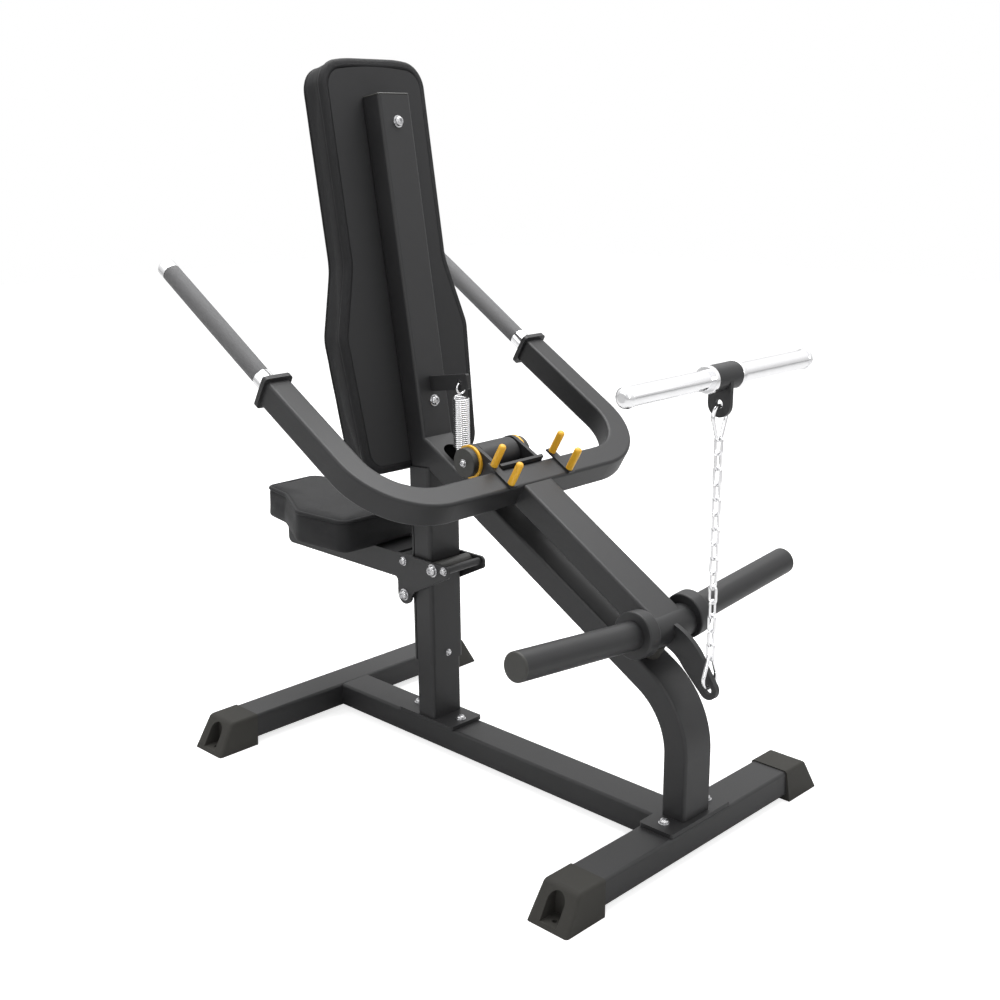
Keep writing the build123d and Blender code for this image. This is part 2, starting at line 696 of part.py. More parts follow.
# ------------------------------------------------------------------ return spring on the frame
def spring_tab():
    """Flat tab on the post's rear face: the spring's upper loop hooks through its hole."""
    rear_face = KNEE - POST_FRONT_DIR * (TUBE_D / 2)
    hole = Vector(0, SPRING_Y, SPRING_HOLE_Z)
    along = (hole - rear_face).dot(POST_DIR)
    root = rear_face + POST_DIR * along
    reach = (hole - root).length + SPRING_TAB_EDGE
    plane = Plane(origin=root, x_dir=-POST_FRONT_DIR, z_dir=(1, 0, 0))
    outline = Pos(reach / 2, 0) * RectangleRounded(reach, SPRING_TAB_H, SPRING_TAB_R)
    outline += Pos(reach / 4, 0) * Rectangle(reach / 2, SPRING_TAB_H)
    outline -= Pos(reach - SPRING_TAB_EDGE, 0) * Circle(SPRING_HOLE_R)
    return extrude(plane.offset(-SPRING_TAB_T / 2) * outline, amount=SPRING_TAB_T)


def ring_arc(plane, radius, wire_r, start_deg, sweep_deg):
    """Part of a wire ring around the plane's origin. Angles run from the plane's x towards its y."""
    section = Plane.XZ * Pos(radius, 0) * Circle(wire_r)
    arc = revolve(section, axis=Axis.Z, revolution_arc=sweep_deg)
    return plane.location * (Rot(0, 0, start_deg) * arc)


def return_spring():
    """Close-wound extension spring: a ribbed coil with a hook loop at each end."""
    height = SPRING_TOP_Z - SPRING_BOTTOM_Z
    pitch = height / SPRING_RIBS
    rib_r = SPRING_R - SPRING_WIRE_R
    wave = Line((0, 0), (rib_r, 0))
    for rib in range(SPRING_RIBS):
        low = (rib_r, pitch * rib)
        crest = (SPRING_R, pitch * (rib + 0.5))
        wave += ThreePointArc(low, crest, (rib_r, pitch * (rib + 1)))
    wave += Polyline((rib_r, height), (0, height), (0, 0))
    foot = Plane(origin=(0, SPRING_Y, SPRING_BOTTOM_Z), x_dir=(1, 0, 0), z_dir=(0, -1, 0))
    coil = revolve(foot * make_face(wave), axis=Axis((0, SPRING_Y, 0), (0, 0, 1)))
    hollow_low = (0, SPRING_Y, SPRING_BOTTOM_Z + SPRING_END_T)
    hollow_high = (0, SPRING_Y, SPRING_TOP_Z - SPRING_END_T)
    coil -= rod(hollow_low, hollow_high, rib_r - SPRING_WIRE_R)
    top_wire_z = SPRING_HOLE_Z - SPRING_HOLE_R + SPRING_WIRE_R + SPRING_SEAT
    low_wire_z = SPRING_LUG_Z + SPRING_HOLE_R - SPRING_WIRE_R - SPRING_SEAT
    loops = []
    for loop_z, coil_z in (
        (top_wire_z - SPRING_LOOP_R, SPRING_TOP_Z),
        (low_wire_z + SPRING_LOOP_R, SPRING_BOTTOM_Z),
    ):
        plane = Plane(origin=(0, SPRING_Y, loop_z), x_dir=(1, 0, 0), z_dir=(0, -1, 0))
        loops.append(ring_arc(plane, SPRING_LOOP_R, SPRING_WIRE_R, 0, 360))
        near = loop_z + math.copysign(SPRING_LOOP_R, coil_z - loop_z)
        inside = coil_z + math.copysign(SPRING_END_T, coil_z - loop_z)
        loops.append(rod((0, SPRING_Y, near), (0, SPRING_Y, inside), SPRING_WIRE_R))
    for loop in loops:
        coil += loop
    return coil


# ------------------------------------------------------------------ pads
def rounded_outline(edges, corners, inset):
    """A closed outline whose corners are rounded: each corner is ((x, y), radius)."""
    face = make_face(edges)
    for point, radius in corners:
        corner = face.vertices().sort_by_distance((point[0], point[1], 0))[0]
        face = fillet(corner, radius)
    return offset(face, -inset) if inset else face


def both_sides(corners):
    return [((side * x, y), radius) for (x, y), radius in corners for side in (1, -1)]


def pad_bolt_plane(height):
    """On the post's rear face, at a height above the knee."""
    origin = KNEE - POST_FRONT_DIR * (TUBE_D / 2) + POST_DIR * height
    return Plane(origin=origin, x_dir=(1, 0, 0), z_dir=-POST_FRONT_DIR)


def pad_bolts():
    grip = TUBE_D + PAD_BOARD_T - BOLT_TIP_GAP
    heights = (PAD_BOLT_LOW, PAD_BOLT_HIGH)
    return [bolt(pad_bolt_plane(height), PAD_WASHER_R, PAD_BOLT_R, grip) for height in heights]


def pad_outline(inset=0.0):
    """Back pad: wide at the hips, drawn in to straight sides and a slightly domed top."""
    corners = [
        ((PAD_LOW_HALF, PAD_BOTTOM), PAD_LOW_R),
        ((PAD_HIP_HALF, PAD_HIP_H), PAD_HIP_R),
        ((PAD_SHOULDER_HALF, PAD_WAIST_H), PAD_WAIST_R),
        ((PAD_SHOULDER_HALF, PAD_TOP - PAD_TOP_DOME), PAD_TOP_R),
    ]
    right = [point for point, _ in corners]
    left = [(-x, y) for x, y in reversed(right)]
    edges = Polyline(*left, *right) + ThreePointArc(right[-1], (0, PAD_TOP), left[0])
    return rounded_outline(edges, both_sides(corners), inset)


def on_plane(plane):
    return lambda edge: abs((edge.center() - plane.origin).dot(plane.z_dir)) < ON_PLANE_NEAR


def backpad_board():
    board = extrude(PAD_PLANE * pad_outline(PAD_INSET), amount=PAD_BOARD_T)
    for height in (PAD_BOLT_LOW, PAD_BOLT_HIGH):
        board -= bolt_hole(pad_bolt_plane(height), PAD_BOLT_R, TUBE_D + PAD_BOARD_T - BOLT_TIP_GAP)
    return board


def backpad_cushion():
    rear = PAD_PLANE.offset(PAD_LIP)
    front = PAD_PLANE.offset(PAD_DEPTH)
    cushion = extrude(rear * pad_outline(), amount=PAD_DEPTH - PAD_LIP)
    cushion = fillet(cushion.edges().filter_by(on_plane(front)), PAD_EDGE_R)
    cushion = fillet(cushion.edges().filter_by(on_plane(rear)), PAD_EDGE_R / 2)
    return cushion - extrude(PAD_PLANE * pad_outline(PAD_INSET), amount=PAD_BOARD_T)


def seat_outline(inset=0.0):
    corners = [
        ((SEAT_REAR_HALF, SEAT_REAR_Y), SEAT_REAR_R),
        ((SEAT_HALF, SEAT_WIDE_Y), SEAT_WIDE_R),
        ((SEAT_NECK_HALF, SEAT_NECK_Y), SEAT_NECK_R),
        ((SEAT_NOSE_HALF, SEAT_NOSE_Y), SEAT_NOSE_R),
    ]
    right = [point for point, _ in corners]
    left = [(-x, y) for x, y in reversed(right)]
    return rounded_outline(Polyline(*right, *left, close=True), both_sides(corners), inset)


def seat_board():
    plane = Plane(origin=(0, 0, SEAT_BOTTOM_Z))
    board = extrude(plane * seat_outline(SEAT_INSET), amount=SEAT_BOARD_T)
    for bolt_plane in seat_bolt_planes():
        board -= bolt_hole(bolt_plane, SEAT_BOLT_R, WEB_T + SEAT_BOARD_T - BOLT_TIP_GAP)
    return board


def seat_cushion():
    base = Plane(origin=(0, 0, SEAT_BOTTOM_Z))
    low = base.offset(SEAT_LIP)
    high = Plane(origin=(0, 0, SEAT_TOP_Z))
    cushion = extrude(low * seat_outline(), amount=SEAT_TOP_Z - SEAT_BOTTOM_Z - SEAT_LIP)
    cushion = fillet(cushion.edges().filter_by(on_plane(high)), SEAT_EDGE_R)
    cushion = fillet(cushion.edges().filter_by(on_plane(low)), SEAT_EDGE_R / 2)
    return cushion - extrude(base * seat_outline(SEAT_INSET), amount=SEAT_BOARD_T)


# ------------------------------------------------------------------ lever: bracket and frame
# These are drawn in the lever's plane (x across, y = s rearward, z = n off the plane).
def lever(shape):
    return LEVER_PLANE.location * shape


def tangent_point(radius, point, side):
    """Where the line from a point touches a circle about the origin."""
    distance = math.hypot(*point)
    angle = math.atan2(point[1], point[0]) + side * math.acos(radius / distance)
    return radius * math.cos(angle), radius * math.sin(angle)


def lever_bracket():
    """Folded plate: two ears about the housing, joined by a back plate on the cross tube."""
    half = EAR_OUTER_X
    bottom = -BRACKET_DROP
    plate_front = CROSS_FRONT_S - BRACKET_PLATE_T
    bracket = block((-half, half), (plate_front, CROSS_FRONT_S), (bottom, LEVER_TOP_N + BRACKET_RISE))
    high = (CROSS_FRONT_S, LEVER_TOP_N)
    low = (CROSS_FRONT_S, bottom)
    upper = tangent_point(EAR_R, high, 1)
    lower = tangent_point(EAR_R, low, -1)
    outline = Polyline(upper, high, low, lower) + ThreePointArc(lower, (-EAR_R, 0), upper)
    for ear_x in (-half, EAR_INNER_X):
        plane = Plane(origin=(ear_x, 0, 0), x_dir=(0, 1, 0), z_dir=(1, 0, 0))
        bracket += extrude(plane * make_face(outline), amount=EAR_T)
    bracket -= rod((-half - CUT_PAST, 0, 0), (half + CUT_PAST, 0, 0), SHAFT_R)
    return lever(bracket)


def capsule(start, end, radius):
    """A round-ended strip between two points."""
    start = Vector(*start)
    end = Vector(*end)
    turn = math.degrees(math.atan2(end.Y - start.Y, end.X - start.X))
    middle = (start + end) / 2
    return Pos(middle.X, middle.Y) * Rot(0, 0, turn) * SlotCenterToCenter((end - start).length, 2 * radius)


def spring_lug():
    """Curved lug from the back plate, under the housing, to the return spring's lower loop."""
    eye = LEVER_PLANE.to_local_coords(Vector(0, SPRING_Y, SPRING_LUG_Z))
    eye_angle = math.atan2(eye.Z, eye.Y)
    middle_r = (LUG_INNER_R + LUG_OUTER_R) / 2
    half_w = (LUG_OUTER_R - LUG_INNER_R) / 2
    root_angle = math.radians(LUG_ROOT_ANGLE)
    root = (middle_r * math.cos(root_angle), middle_r * math.sin(root_angle))
    end = (middle_r * math.cos(eye_angle), middle_r * math.sin(eye_angle))
    under = Circle(LUG_OUTER_R) - Circle(LUG_INNER_R)
    reach = 2 * LUG_OUTER_R
    under &= Polygon(
        (0, 0),
        (reach * math.cos(root_angle), reach * math.sin(root_angle)),
        (reach, -reach),
        (-reach, -reach),
        (reach * math.cos(eye_angle), reach * math.sin(eye_angle)),
        align=None,
    )
    plate_front = CROSS_FRONT_S - BRACKET_PLATE_T
    outline = under + capsule(root, (plate_front + half_w, root[1] + half_w), half_w)
    outline += capsule(end, (eye.Y, eye.Z), half_w)
    outline += Pos(eye.Y, eye.Z) * Circle(LUG_EYE_R)
    outline -= Circle(LUG_INNER_R)
    outline -= Pos(eye.Y, eye.Z) * Circle(SPRING_HOLE_R)
    outline -= Pos(plate_front + reach / 2, 0) * Rectangle(reach, 2 * reach)
    plane = Plane(origin=(-LUG_T / 2, 0, 0), x_dir=(0, 1, 0), z_dir=(1, 0, 0))
    return lever(extrude(plane * outline, amount=LUG_T))


def u_frame():
    """Square tube bent into a U: one arm on each side of the user and a cross run behind."""
    mid_s = U_CENTRE_S
    corner = U_BEND_R * (1 - math.cos(math.pi / 4))
    left_in = Vector(U_ARM_X, mid_s - U_BEND_R, U_CENTRE_N)
    left_out = Vector(U_ARM_X - U_BEND_R, mid_s, U_CENTRE_N)
    left_mid = Vector(U_ARM_X - corner, mid_s - corner, U_CENTRE_N)
    right_in = Vector(-left_in.X, left_in.Y, U_CENTRE_N)
    right_out = Vector(-left_out.X, left_out.Y, U_CENTRE_N)
    right_mid = Vector(-left_mid.X, left_mid.Y, U_CENTRE_N)
    start = Vector(U_ARM_X, U_ARM_FRONT_S, U_CENTRE_N)
    end = Vector(-U_ARM_X, U_ARM_FRONT_S, U_CENTRE_N)
    path = Line(start, left_in) + ThreePointArc(left_in, left_mid, left_out)
    path += Line(left_out, right_out)
    path += ThreePointArc(right_out, right_mid, right_in) + Line(right_in, end)
    plane = Plane(origin=start, x_dir=(1, 0, 0), z_dir=(0, 1, 0))
    return lever(sweep(plane * tube_section(U_TUBE, U_TUBE, TUBE_WALL, TUBE_R), path=path))


def weight_tube_axis():
    """The weight tube's axis in the lever's plane: how far rearward, and how far off it."""
    axis = LEVER_PLANE.to_local_coords(Vector(0, WEIGHT_Y, WEIGHT_Z))
    return axis.Y, axis.Z


def lever_arm():
    """Box tube from the cross run back to the weight tube, coped round it."""
    start = (0, CROSS_REAR_S, LEVER_TOP_N - TUBE_D / 2)
    end = (0, LEVER_ARM_END_S, LEVER_TOP_N - TUBE_D / 2)
    arm = tube_between(start, end, (1, 0, 0))
    tube_s, tube_n = weight_tube_axis()
    arm -= rod((-TUBE_W, tube_s, tube_n), (TUBE_W, tube_s, tube_n), WEIGHT_TUBE_R)
    return lever(one_solid(arm))


# ------------------------------------------------------------------ lever: hub
def pivot_shaft():
    shaft = rod(*across(-RING_OUTER_X, RING_OUTER_X, 0, PIVOT_Z), SHAFT_R)
    for side in (-1, 1):
        plane = Plane(origin=(side * RING_OUTER_X, 0, PIVOT_Z), z_dir=(side, 0, 0))
        shaft -= bolt_hole(plane, HUB_BOLT_R, 2 * BOLT_THREAD_IN)
    return shaft


def hub_plane(side):
    """On the hub's outer face, looking outward."""
    outer = RING_OUTER_X + HUB_CAP_T
    return Plane(origin=(side * outer, 0, PIVOT_Z), x_dir=(0, 1, 0), z_dir=(side, 0, 0))


def hub_ring(side):
    ends = sorted((side * EAR_OUTER_X, side * RING_OUTER_X))
    ring = rod(*across(*ends, 0, PIVOT_Z), RING_R, SHAFT_R)
    rim = ring.edges().filter_by(GeomType.CIRCLE).group_by(SortBy.RADIUS)[-1]
    return fillet(rim, RING_EDGE_R)


def hub_cap(side):
    ends = sorted((side * RING_OUTER_X, side * (RING_OUTER_X + HUB_CAP_T)))
    cap = rod(*across(*ends, 0, PIVOT_Z), HUB_CAP_R)
    outer_rim = max(cap.faces(), key=lambda face: side * face.center().X).edges()
    cap = fillet(outer_rim, HUB_CAP_EDGE_R)
    return cap - bolt_hole(hub_plane(side), HUB_BOLT_R, HUB_CAP_T)


def hub_bolts():
    grip = HUB_CAP_T + BOLT_THREAD_IN
    return all_of(bolt(hub_plane(side), HUB_WASHER_R, HUB_BOLT_R, grip) for side in (-1, 1))


# ------------------------------------------------------------------ lever: handles
def handle_plane(side):
    """On the U arm's front end, looking forward along the handle."""
    arm_end = LEVER_PLANE.from_local_coords(Vector(side * U_ARM_X, U_ARM_FRONT_S, U_CENTRE_N))
    rise = math.radians(LEVER_SLOPE + GRIP_RISE)
    ahead = Vector(0, -math.cos(rise), math.sin(rise))
    return Plane(origin=arm_end, x_dir=(1, 0, 0), z_dir=ahead)


def arm_flange(side):
    """Square end plate that closes the arm and carries the handle."""
    square = Plane(origin=(side * U_ARM_X, U_ARM_FRONT_S, U_CENTRE_N), x_dir=(1, 0, 0), z_dir=(0, -1, 0))
    plate = extrude(square * RectangleRounded(FLANGE_W, FLANGE_H, FLANGE_CORNER_R), amount=FLANGE_T)
    return lever(plate) - extrude(handle_plane(side) * Circle(HANDLE_R), amount=3 * FLANGE_T)


def handle_tube(side):
    plane = handle_plane(side)
    length = FLANGE_T + COLLAR_LENGTH + GRIP_LENGTH
    tube = extrude(plane * (Circle(HANDLE_R) - Circle(HANDLE_R - HANDLE_WALL)), amount=length)
    square = lever(block(
        (side * U_ARM_X - U_TUBE, side * U_ARM_X + U_TUBE),
        (U_ARM_FRONT_S, U_ARM_FRONT_S + U_TUBE),
        (U_CENTRE_N - U_TUBE, U_CENTRE_N + U_TUBE),
    ))
    return tube - square


def handle_collar(side):
    """Chrome collar between the flange and the grip."""
    start = FLANGE_T + COLLAR_GAP
    plane = handle_plane(side).offset(start)
    collar = extrude(plane * (Circle(COLLAR_R) - Circle(HANDLE_R)), amount=COLLAR_LENGTH - COLLAR_GAP)
    rim = max(collar.faces(), key=lambda face: face.center().Z).edges()
    return chamfer(rim.group_by(SortBy.RADIUS)[-1], COLLAR_BEVEL)


def foam_grip(side):
    plane = handle_plane(side).offset(FLANGE_T + COLLAR_LENGTH)
    return extrude(plane * (Circle(GRIP_R) - Circle(HANDLE_R)), amount=GRIP_LENGTH)


def grip_cap(side):
    """Chrome end cap with a domed face."""
    plane = handle_plane(side).offset(FLANGE_T + COLLAR_LENGTH + GRIP_LENGTH)
    cap = Cylinder(GRIP_R, GRIP_CAP_T, align=(Align.CENTER, Align.CENTER, Align.MIN))
    cap = fillet(cap.edges().group_by(Axis.Z)[-1], GRIP_R * GRIP_DOME_SHARE)
    return plane.location * cap


# ------------------------------------------------------------------ lever: bar cradle
def cradle_strap(centre_x):
    rear_s = CROSS_REAR_S
    front_s = PEG_FRONT_S - PEG_MARGIN
    x_span = (centre_x - STRAP_W / 2, centre_x + STRAP_W / 2)
    return lever(block(x_span, (front_s, rear_s), (LEVER_TOP_N, LEVER_TOP_N + STRAP_T)))


def cradle_pegs(centre_x):
    pegs = []
    base_n = LEVER_TOP_N + STRAP_T
    for peg_s in (PEG_FRONT_S, CROSS_REAR_S - PEG_MARGIN):
        peg = Cylinder(PEG_R, PEG_LENGTH, align=(Align.CENTER, Align.CENTER, Align.MIN))
        peg = fillet(peg.edges().group_by(Axis.Z)[-1], PEG_R * PEG_DOME_SHARE)
        pegs.append(lever(Pos(centre_x, peg_s, base_n) * peg))
    return pegs


# ------------------------------------------------------------------ lever: weight pegs and tail
def weight_plane(side):
    """On the stop collar's inner face, looking outward along the weight peg."""
    tilt = math.radians(WEIGHT_TILT)
    out = Vector(side * math.cos(tilt), 0, math.sin(tilt))
    start = Vector(0, WEIGHT_Y, WEIGHT_Z) + out * (STOP_COLLAR_X / math.cos(tilt))
    return Plane(origin=start, x_dir=(0, 1, 0), z_dir=out)


def weight_tube():
    """Cross tube on the lever's end, mitred to the two collars."""
    reach = STOP_COLLAR_X + WEIGHT_TUBE_R
    tube = rod(*across(-reach, reach, WEIGHT_Y, WEIGHT_Z), WEIGHT_TUBE_R, WEIGHT_TUBE_R - WEIGHT_TUBE_WALL)
    for side in (-1, 1):
        tube = split(tube, bisect_by=weight_plane(side), keep=Keep.BOTTOM)
    return tube


def weight_length():
    tilt = math.radians(WEIGHT_TILT)
    return (WEIGHT_END_X - STOP_COLLAR_X) / math.cos(tilt)


def stop_collar(side):
    section = Circle(STOP_COLLAR_R) - Circle(WEIGHT_ROOT_R)
    collar = extrude(weight_plane(side) * section, amount=STOP_COLLAR_T)
    rims = collar.edges().filter_by(GeomType.CIRCLE).group_by(SortBy.RADIUS)[-1]
    return fillet(rims, STOP_COLLAR_EDGE_R)


def weight_peg(side):
    """Tube that the plates slide on. Its root is turned down to sit in the stop collar."""
    plane = weight_plane(side)
    length = weight_length() - WEIGHT_CAP_T
    root = extrude(plane * Circle(WEIGHT_ROOT_R), amount=STOP_COLLAR_T)
    peg = root + extrude(plane.offset(STOP_COLLAR_T) * Circle(WEIGHT_R), amount=length - STOP_COLLAR_T)
    return peg - extrude(plane * Circle(WEIGHT_R - WEIGHT_WALL), amount=length)


def weight_cap(side):
    """Moulded end plug of the weight peg."""
    plane = weight_plane(side).offset(weight_length() - WEIGHT_CAP_T)
    lid = Cylinder(WEIGHT_R, WEIGHT_CAP_T, align=(Align.CENTER, Align.CENTER, Align.MIN))
    lid = fillet(lid.edges().group_by(Axis.Z)[-1], WEIGHT_CAP_EDGE_R)
    plug = extrude(Circle(WEIGHT_R - WEIGHT_WALL), amount=-WEIGHT_PLUG_DEPTH)
    return plane.location * (lid + plug)


def tail_point(radius, angle):
    return (
        TAIL_ARC_Y + radius * math.cos(math.radians(angle)),
        TAIL_ARC_Z + radius * math.sin(math.radians(angle)),
    )


def tail_plate():
    """Flat gooseneck from the weight tube down to the chain's eye."""
    outer_start = tail_point(TAIL_OUTER_R, TAIL_START_ANGLE)
    outer_mid = tail_point(TAIL_OUTER_R, (TAIL_START_ANGLE + TAIL_OUTER_ANGLE) / 2)
    outer_end = tail_point(TAIL_OUTER_R, TAIL_OUTER_ANGLE)
    inner_start = tail_point(TAIL_INNER_R, TAIL_START_ANGLE)
    inner_mid = tail_point(TAIL_INNER_R, (TAIL_START_ANGLE + TAIL_INNER_ANGLE) / 2)
    inner_end = tail_point(TAIL_INNER_R, TAIL_INNER_ANGLE)
    eye = (TAIL_EYE_Y, TAIL_EYE_Z)
    outer_touch = touch_from(outer_end, eye, TAIL_EYE_R, 1)
    inner_touch = touch_from(inner_end, eye, TAIL_EYE_R, -1)
    edges = ThreePointArc(outer_start, outer_mid, outer_end) + Line(outer_end, outer_touch)
    edges += Polyline(outer_touch, eye, inner_touch, inner_end)
    edges += ThreePointArc(inner_end, inner_mid, inner_start) + Line(inner_start, outer_start)
    outline = make_face(edges) + Pos(*eye) * Circle(TAIL_EYE_R)
    outline -= Pos(*eye) * Circle(TAIL_HOLE_R)
    outline -= Pos(WEIGHT_Y, WEIGHT_Z) * Circle(WEIGHT_TUBE_R)
    plane = Plane(origin=(-TAIL_T / 2, 0, 0), x_dir=(0, 1, 0), z_dir=(1, 0, 0))
    return one_solid(extrude(plane * outline, amount=TAIL_T))


def touch_from(point, centre, radius, side):
    """Where the line from a point touches a circle about a centre."""
    away = (point[0] - centre[0], point[1] - centre[1])
    touch = tangent_point(radius, away, -side)
    return centre[0] + touch[0], centre[1] + touch[1]


# ------------------------------------------------------------------ seat carriage
def side_plane(x):
    return Plane(origin=(x, 0, 0), x_dir=(0, 1, 0), z_dir=(1, 0, 0))


def carriage_holes():
    return [
        (FRONT_ROLLER_Y, FRONT_ROLLER_Z, AXLE_R),
        (REAR_ROLLER_Y, REAR_ROLLER_Z, AXLE_R),
        (RELEASE_Y, RELEASE_Z, SEAT_BOLT_R),
        (SPACER_Y, SPACER_Z, SEAT_BOLT_R),
    ]


def carriage_plate(side):
    """Side plate: a long arm under the seat, a rear nose and a lobe for the front roller."""
    top = SEAT_BOTTOM_Z
    arm_low = top - CARRIAGE_ARM_H
    lobe_front = FRONT_ROLLER_Y - CARRIAGE_LOBE_R
    outline = Polygon(
        (CARRIAGE_ARM_FRONT_Y, top),
        (CARRIAGE_ARM_FRONT_Y, arm_low),
        (lobe_front, arm_low),
        (lobe_front, FRONT_ROLLER_Z),
        (FRONT_ROLLER_Y + CARRIAGE_LOBE_R, FRONT_ROLLER_Z),
        (CARRIAGE_WAIST_Y, top - CARRIAGE_WAIST_H),
        (CARRIAGE_REAR_Y, top - CARRIAGE_REAR_H),
        (CARRIAGE_REAR_Y, top),
        align=None,
    )
    outline += Pos(FRONT_ROLLER_Y, FRONT_ROLLER_Z) * Circle(CARRIAGE_LOBE_R)
    for point, radius in (
        ((CARRIAGE_ARM_FRONT_Y, arm_low), CARRIAGE_FRONT_R),
        ((lobe_front, arm_low), CARRIAGE_STEP_R),
        ((CARRIAGE_REAR_Y, top - CARRIAGE_REAR_H), CARRIAGE_STEP_R),
        ((CARRIAGE_REAR_Y, top), CARRIAGE_REAR_R),
    ):
        corner = outline.vertices().sort_by_distance((point[0], point[1], 0))[0]
        outline = fillet(corner, radius)
    for y, z, radius in carriage_holes():
        outline -= Pos(y, z) * Circle(radius + BOLT_PLAY)
    low_x = CARRIAGE_X if side > 0 else -CARRIAGE_X - CARRIAGE_T
    return extrude(side_plane(low_x) * outline, amount=CARRIAGE_T)


def seat_bolt_planes():
    under = SEAT_BOTTOM_Z - WEB_T
    return [Plane(origin=(0, y, under), x_dir=(1, 0, 0), z_dir=(0, 0, -1)) for y in SEAT_BOLT_YS]


def carriage_web():
    """Flat web between the side plates: the seat board is bolted down on it."""
    z_span = (SEAT_BOTTOM_Z - WEB_T, SEAT_BOTTOM_Z)
    web = block((-CARRIAGE_X, CARRIAGE_X), (CARRIAGE_ARM_FRONT_Y + WEB_SETBACK, WEB_REAR_Y), z_span)
    for plane in seat_bolt_planes():
        web -= bolt_hole(plane, SEAT_BOLT_R, WEB_T)
    return web


def seat_bolts():
    grip = WEB_T + SEAT_BOARD_T - BOLT_TIP_GAP
    return [bolt(plane, SEAT_WASHER_R, SEAT_BOLT_R, grip) for plane in seat_bolt_planes()]


def cross_bolt(y, z, head_r, shank_r):
    """A bolt right through both carriage plates, with a head on each side."""
    outer = CARRIAGE_X + CARRIAGE_T
    halves = [
        bolt(Plane(origin=(side * outer, y, z), x_dir=(0, 1, 0), z_dir=(side, 0, 0)), head_r, shank_r, outer)
        for side in (-1, 1)
    ]
    return halves[0] + halves[1]


def roller_axles():
    return [
        cross_bolt(REAR_ROLLER_Y, REAR_ROLLER_Z, REAR_AXLE_HEAD_R, AXLE_R),
        cross_bolt(FRONT_ROLLER_Y, FRONT_ROLLER_Z, FRONT_AXLE_HEAD_R, AXLE_R),
    ]


def carriage_bolts():
    return [
        cross_bolt(RELEASE_Y, RELEASE_Z, RELEASE_WASHER_R, SEAT_BOLT_R),
        cross_bolt(SPACER_Y, SPACER_Z, SPACER_WASHER_R, SEAT_BOLT_R),
    ]


def between_plates(y, z, radius, bore, gap=0.0):
    reach = CARRIAGE_X - gap
    return rod(*across(-reach, reach, y, z), radius, bore)


def release_bar():
    return between_plates(RELEASE_Y, RELEASE_Z, RELEASE_R, SEAT_BOLT_R + BOLT_PLAY)


def carriage_spacer():
    return between_plates(SPACER_Y, SPACER_Z, SPACER_R, SEAT_BOLT_R + BOLT_PLAY)


def rear_roller():
    return between_plates(REAR_ROLLER_Y, REAR_ROLLER_Z, REAR_ROLLER_R, AXLE_R + RUN_GAP, SIDE_GAP)


def front_roller():
    return between_plates(FRONT_ROLLER_Y, FRONT_ROLLER_Z, FRONT_ROLLER_R, AXLE_R + RUN_GAP, SIDE_GAP)


# ------------------------------------------------------------------ chain
def chain_plane(z, quarter_turn):
    """Loops are drawn with x across the loop and y up the chain."""
    across_dir = (0, 1, 0) if quarter_turn else (1, 0, 0)
    out_dir = (1, 0, 0) if quarter_turn else (0, -1, 0)
    return Plane(origin=(0, TAIL_EYE_Y, z), x_dir=across_dir, z_dir=out_dir)


def wire_loop(low_r, high_r, spread, wire_r):
    """Closed loop of wire: a low and a high bow, spread apart, joined by straight legs."""
    lean = math.asin((low_r - high_r) / spread)
    turn = math.degrees(lean)
    low = ring_arc(Plane.XY, low_r, wire_r, 180 - turn, 180 + 2 * turn)
    high = ring_arc(Plane(origin=(0, spread, 0)), high_r, wire_r, turn, 180 - 2 * turn)
    loop = low + high
    for side in (-1, 1):
        leg_low = (side * low_r * math.cos(lean), low_r * math.sin(lean), 0)
        leg_high = (side * high_r * math.cos(lean), spread + high_r * math.sin(lean), 0)
        loop += rod(leg_low, leg_high, wire_r)
    return loop


def chain_link():
    bow_r = CHAIN_INNER_HALF + CHAIN_WIRE_R
    spread = 2 * (LINK_INNER_HALF - CHAIN_INNER_HALF)
    return Pos(0, -spread / 2, 0) * wire_loop(bow_r, bow_r, spread, CHAIN_WIRE_R)


def chain_links():
    link = chain_link()
    links = []
    for count in range(CHAIN_LINKS):
        plane = chain_plane(FIRST_LINK_Z + CHAIN_PITCH * count, count % 2 == 0)
        links.append(plane.location * link)
    return all_of(links)


def hook_parts():
    """A snap hook with its wide bow down: the wire body and the gate that closes it."""
    spread = HOOK_SPAN - HOOK_BIG_R - HOOK_SMALL_R
    loop = Pos(0, HOOK_BIG_R, 0) * wire_loop(HOOK_BIG_R, HOOK_SMALL_R, spread, HOOK_WIRE_R)
    lean = math.asin((HOOK_BIG_R - HOOK_SMALL_R) / spread)
    low = Vector(-HOOK_BIG_R * math.cos(lean), HOOK_BIG_R * (1 + math.sin(lean)), 0)
    high = Vector(-HOOK_SMALL_R * math.cos(lean), HOOK_BIG_R + spread + HOOK_SMALL_R * math.sin(lean), 0)
    step = (high - low).normalized()
    opening = rod(low, high, HOOK_WIRE_R + HOOK_GATE_PLAY)
    gate = rod(low, high, HOOK_GATE_R)
    return loop - opening, gate


def lower_hook():
    plane = chain_plane(HOOK_LOW_Z, False)
    return [plane.location * shape for shape in hook_parts()]


def upper_hook():
    plane = Plane(origin=(0, TAIL_EYE_Y, HOOK_HIGH_Z), x_dir=(-1, 0, 0), z_dir=(0, -1, 0))
    return [plane.location * shape for shape in hook_parts()]


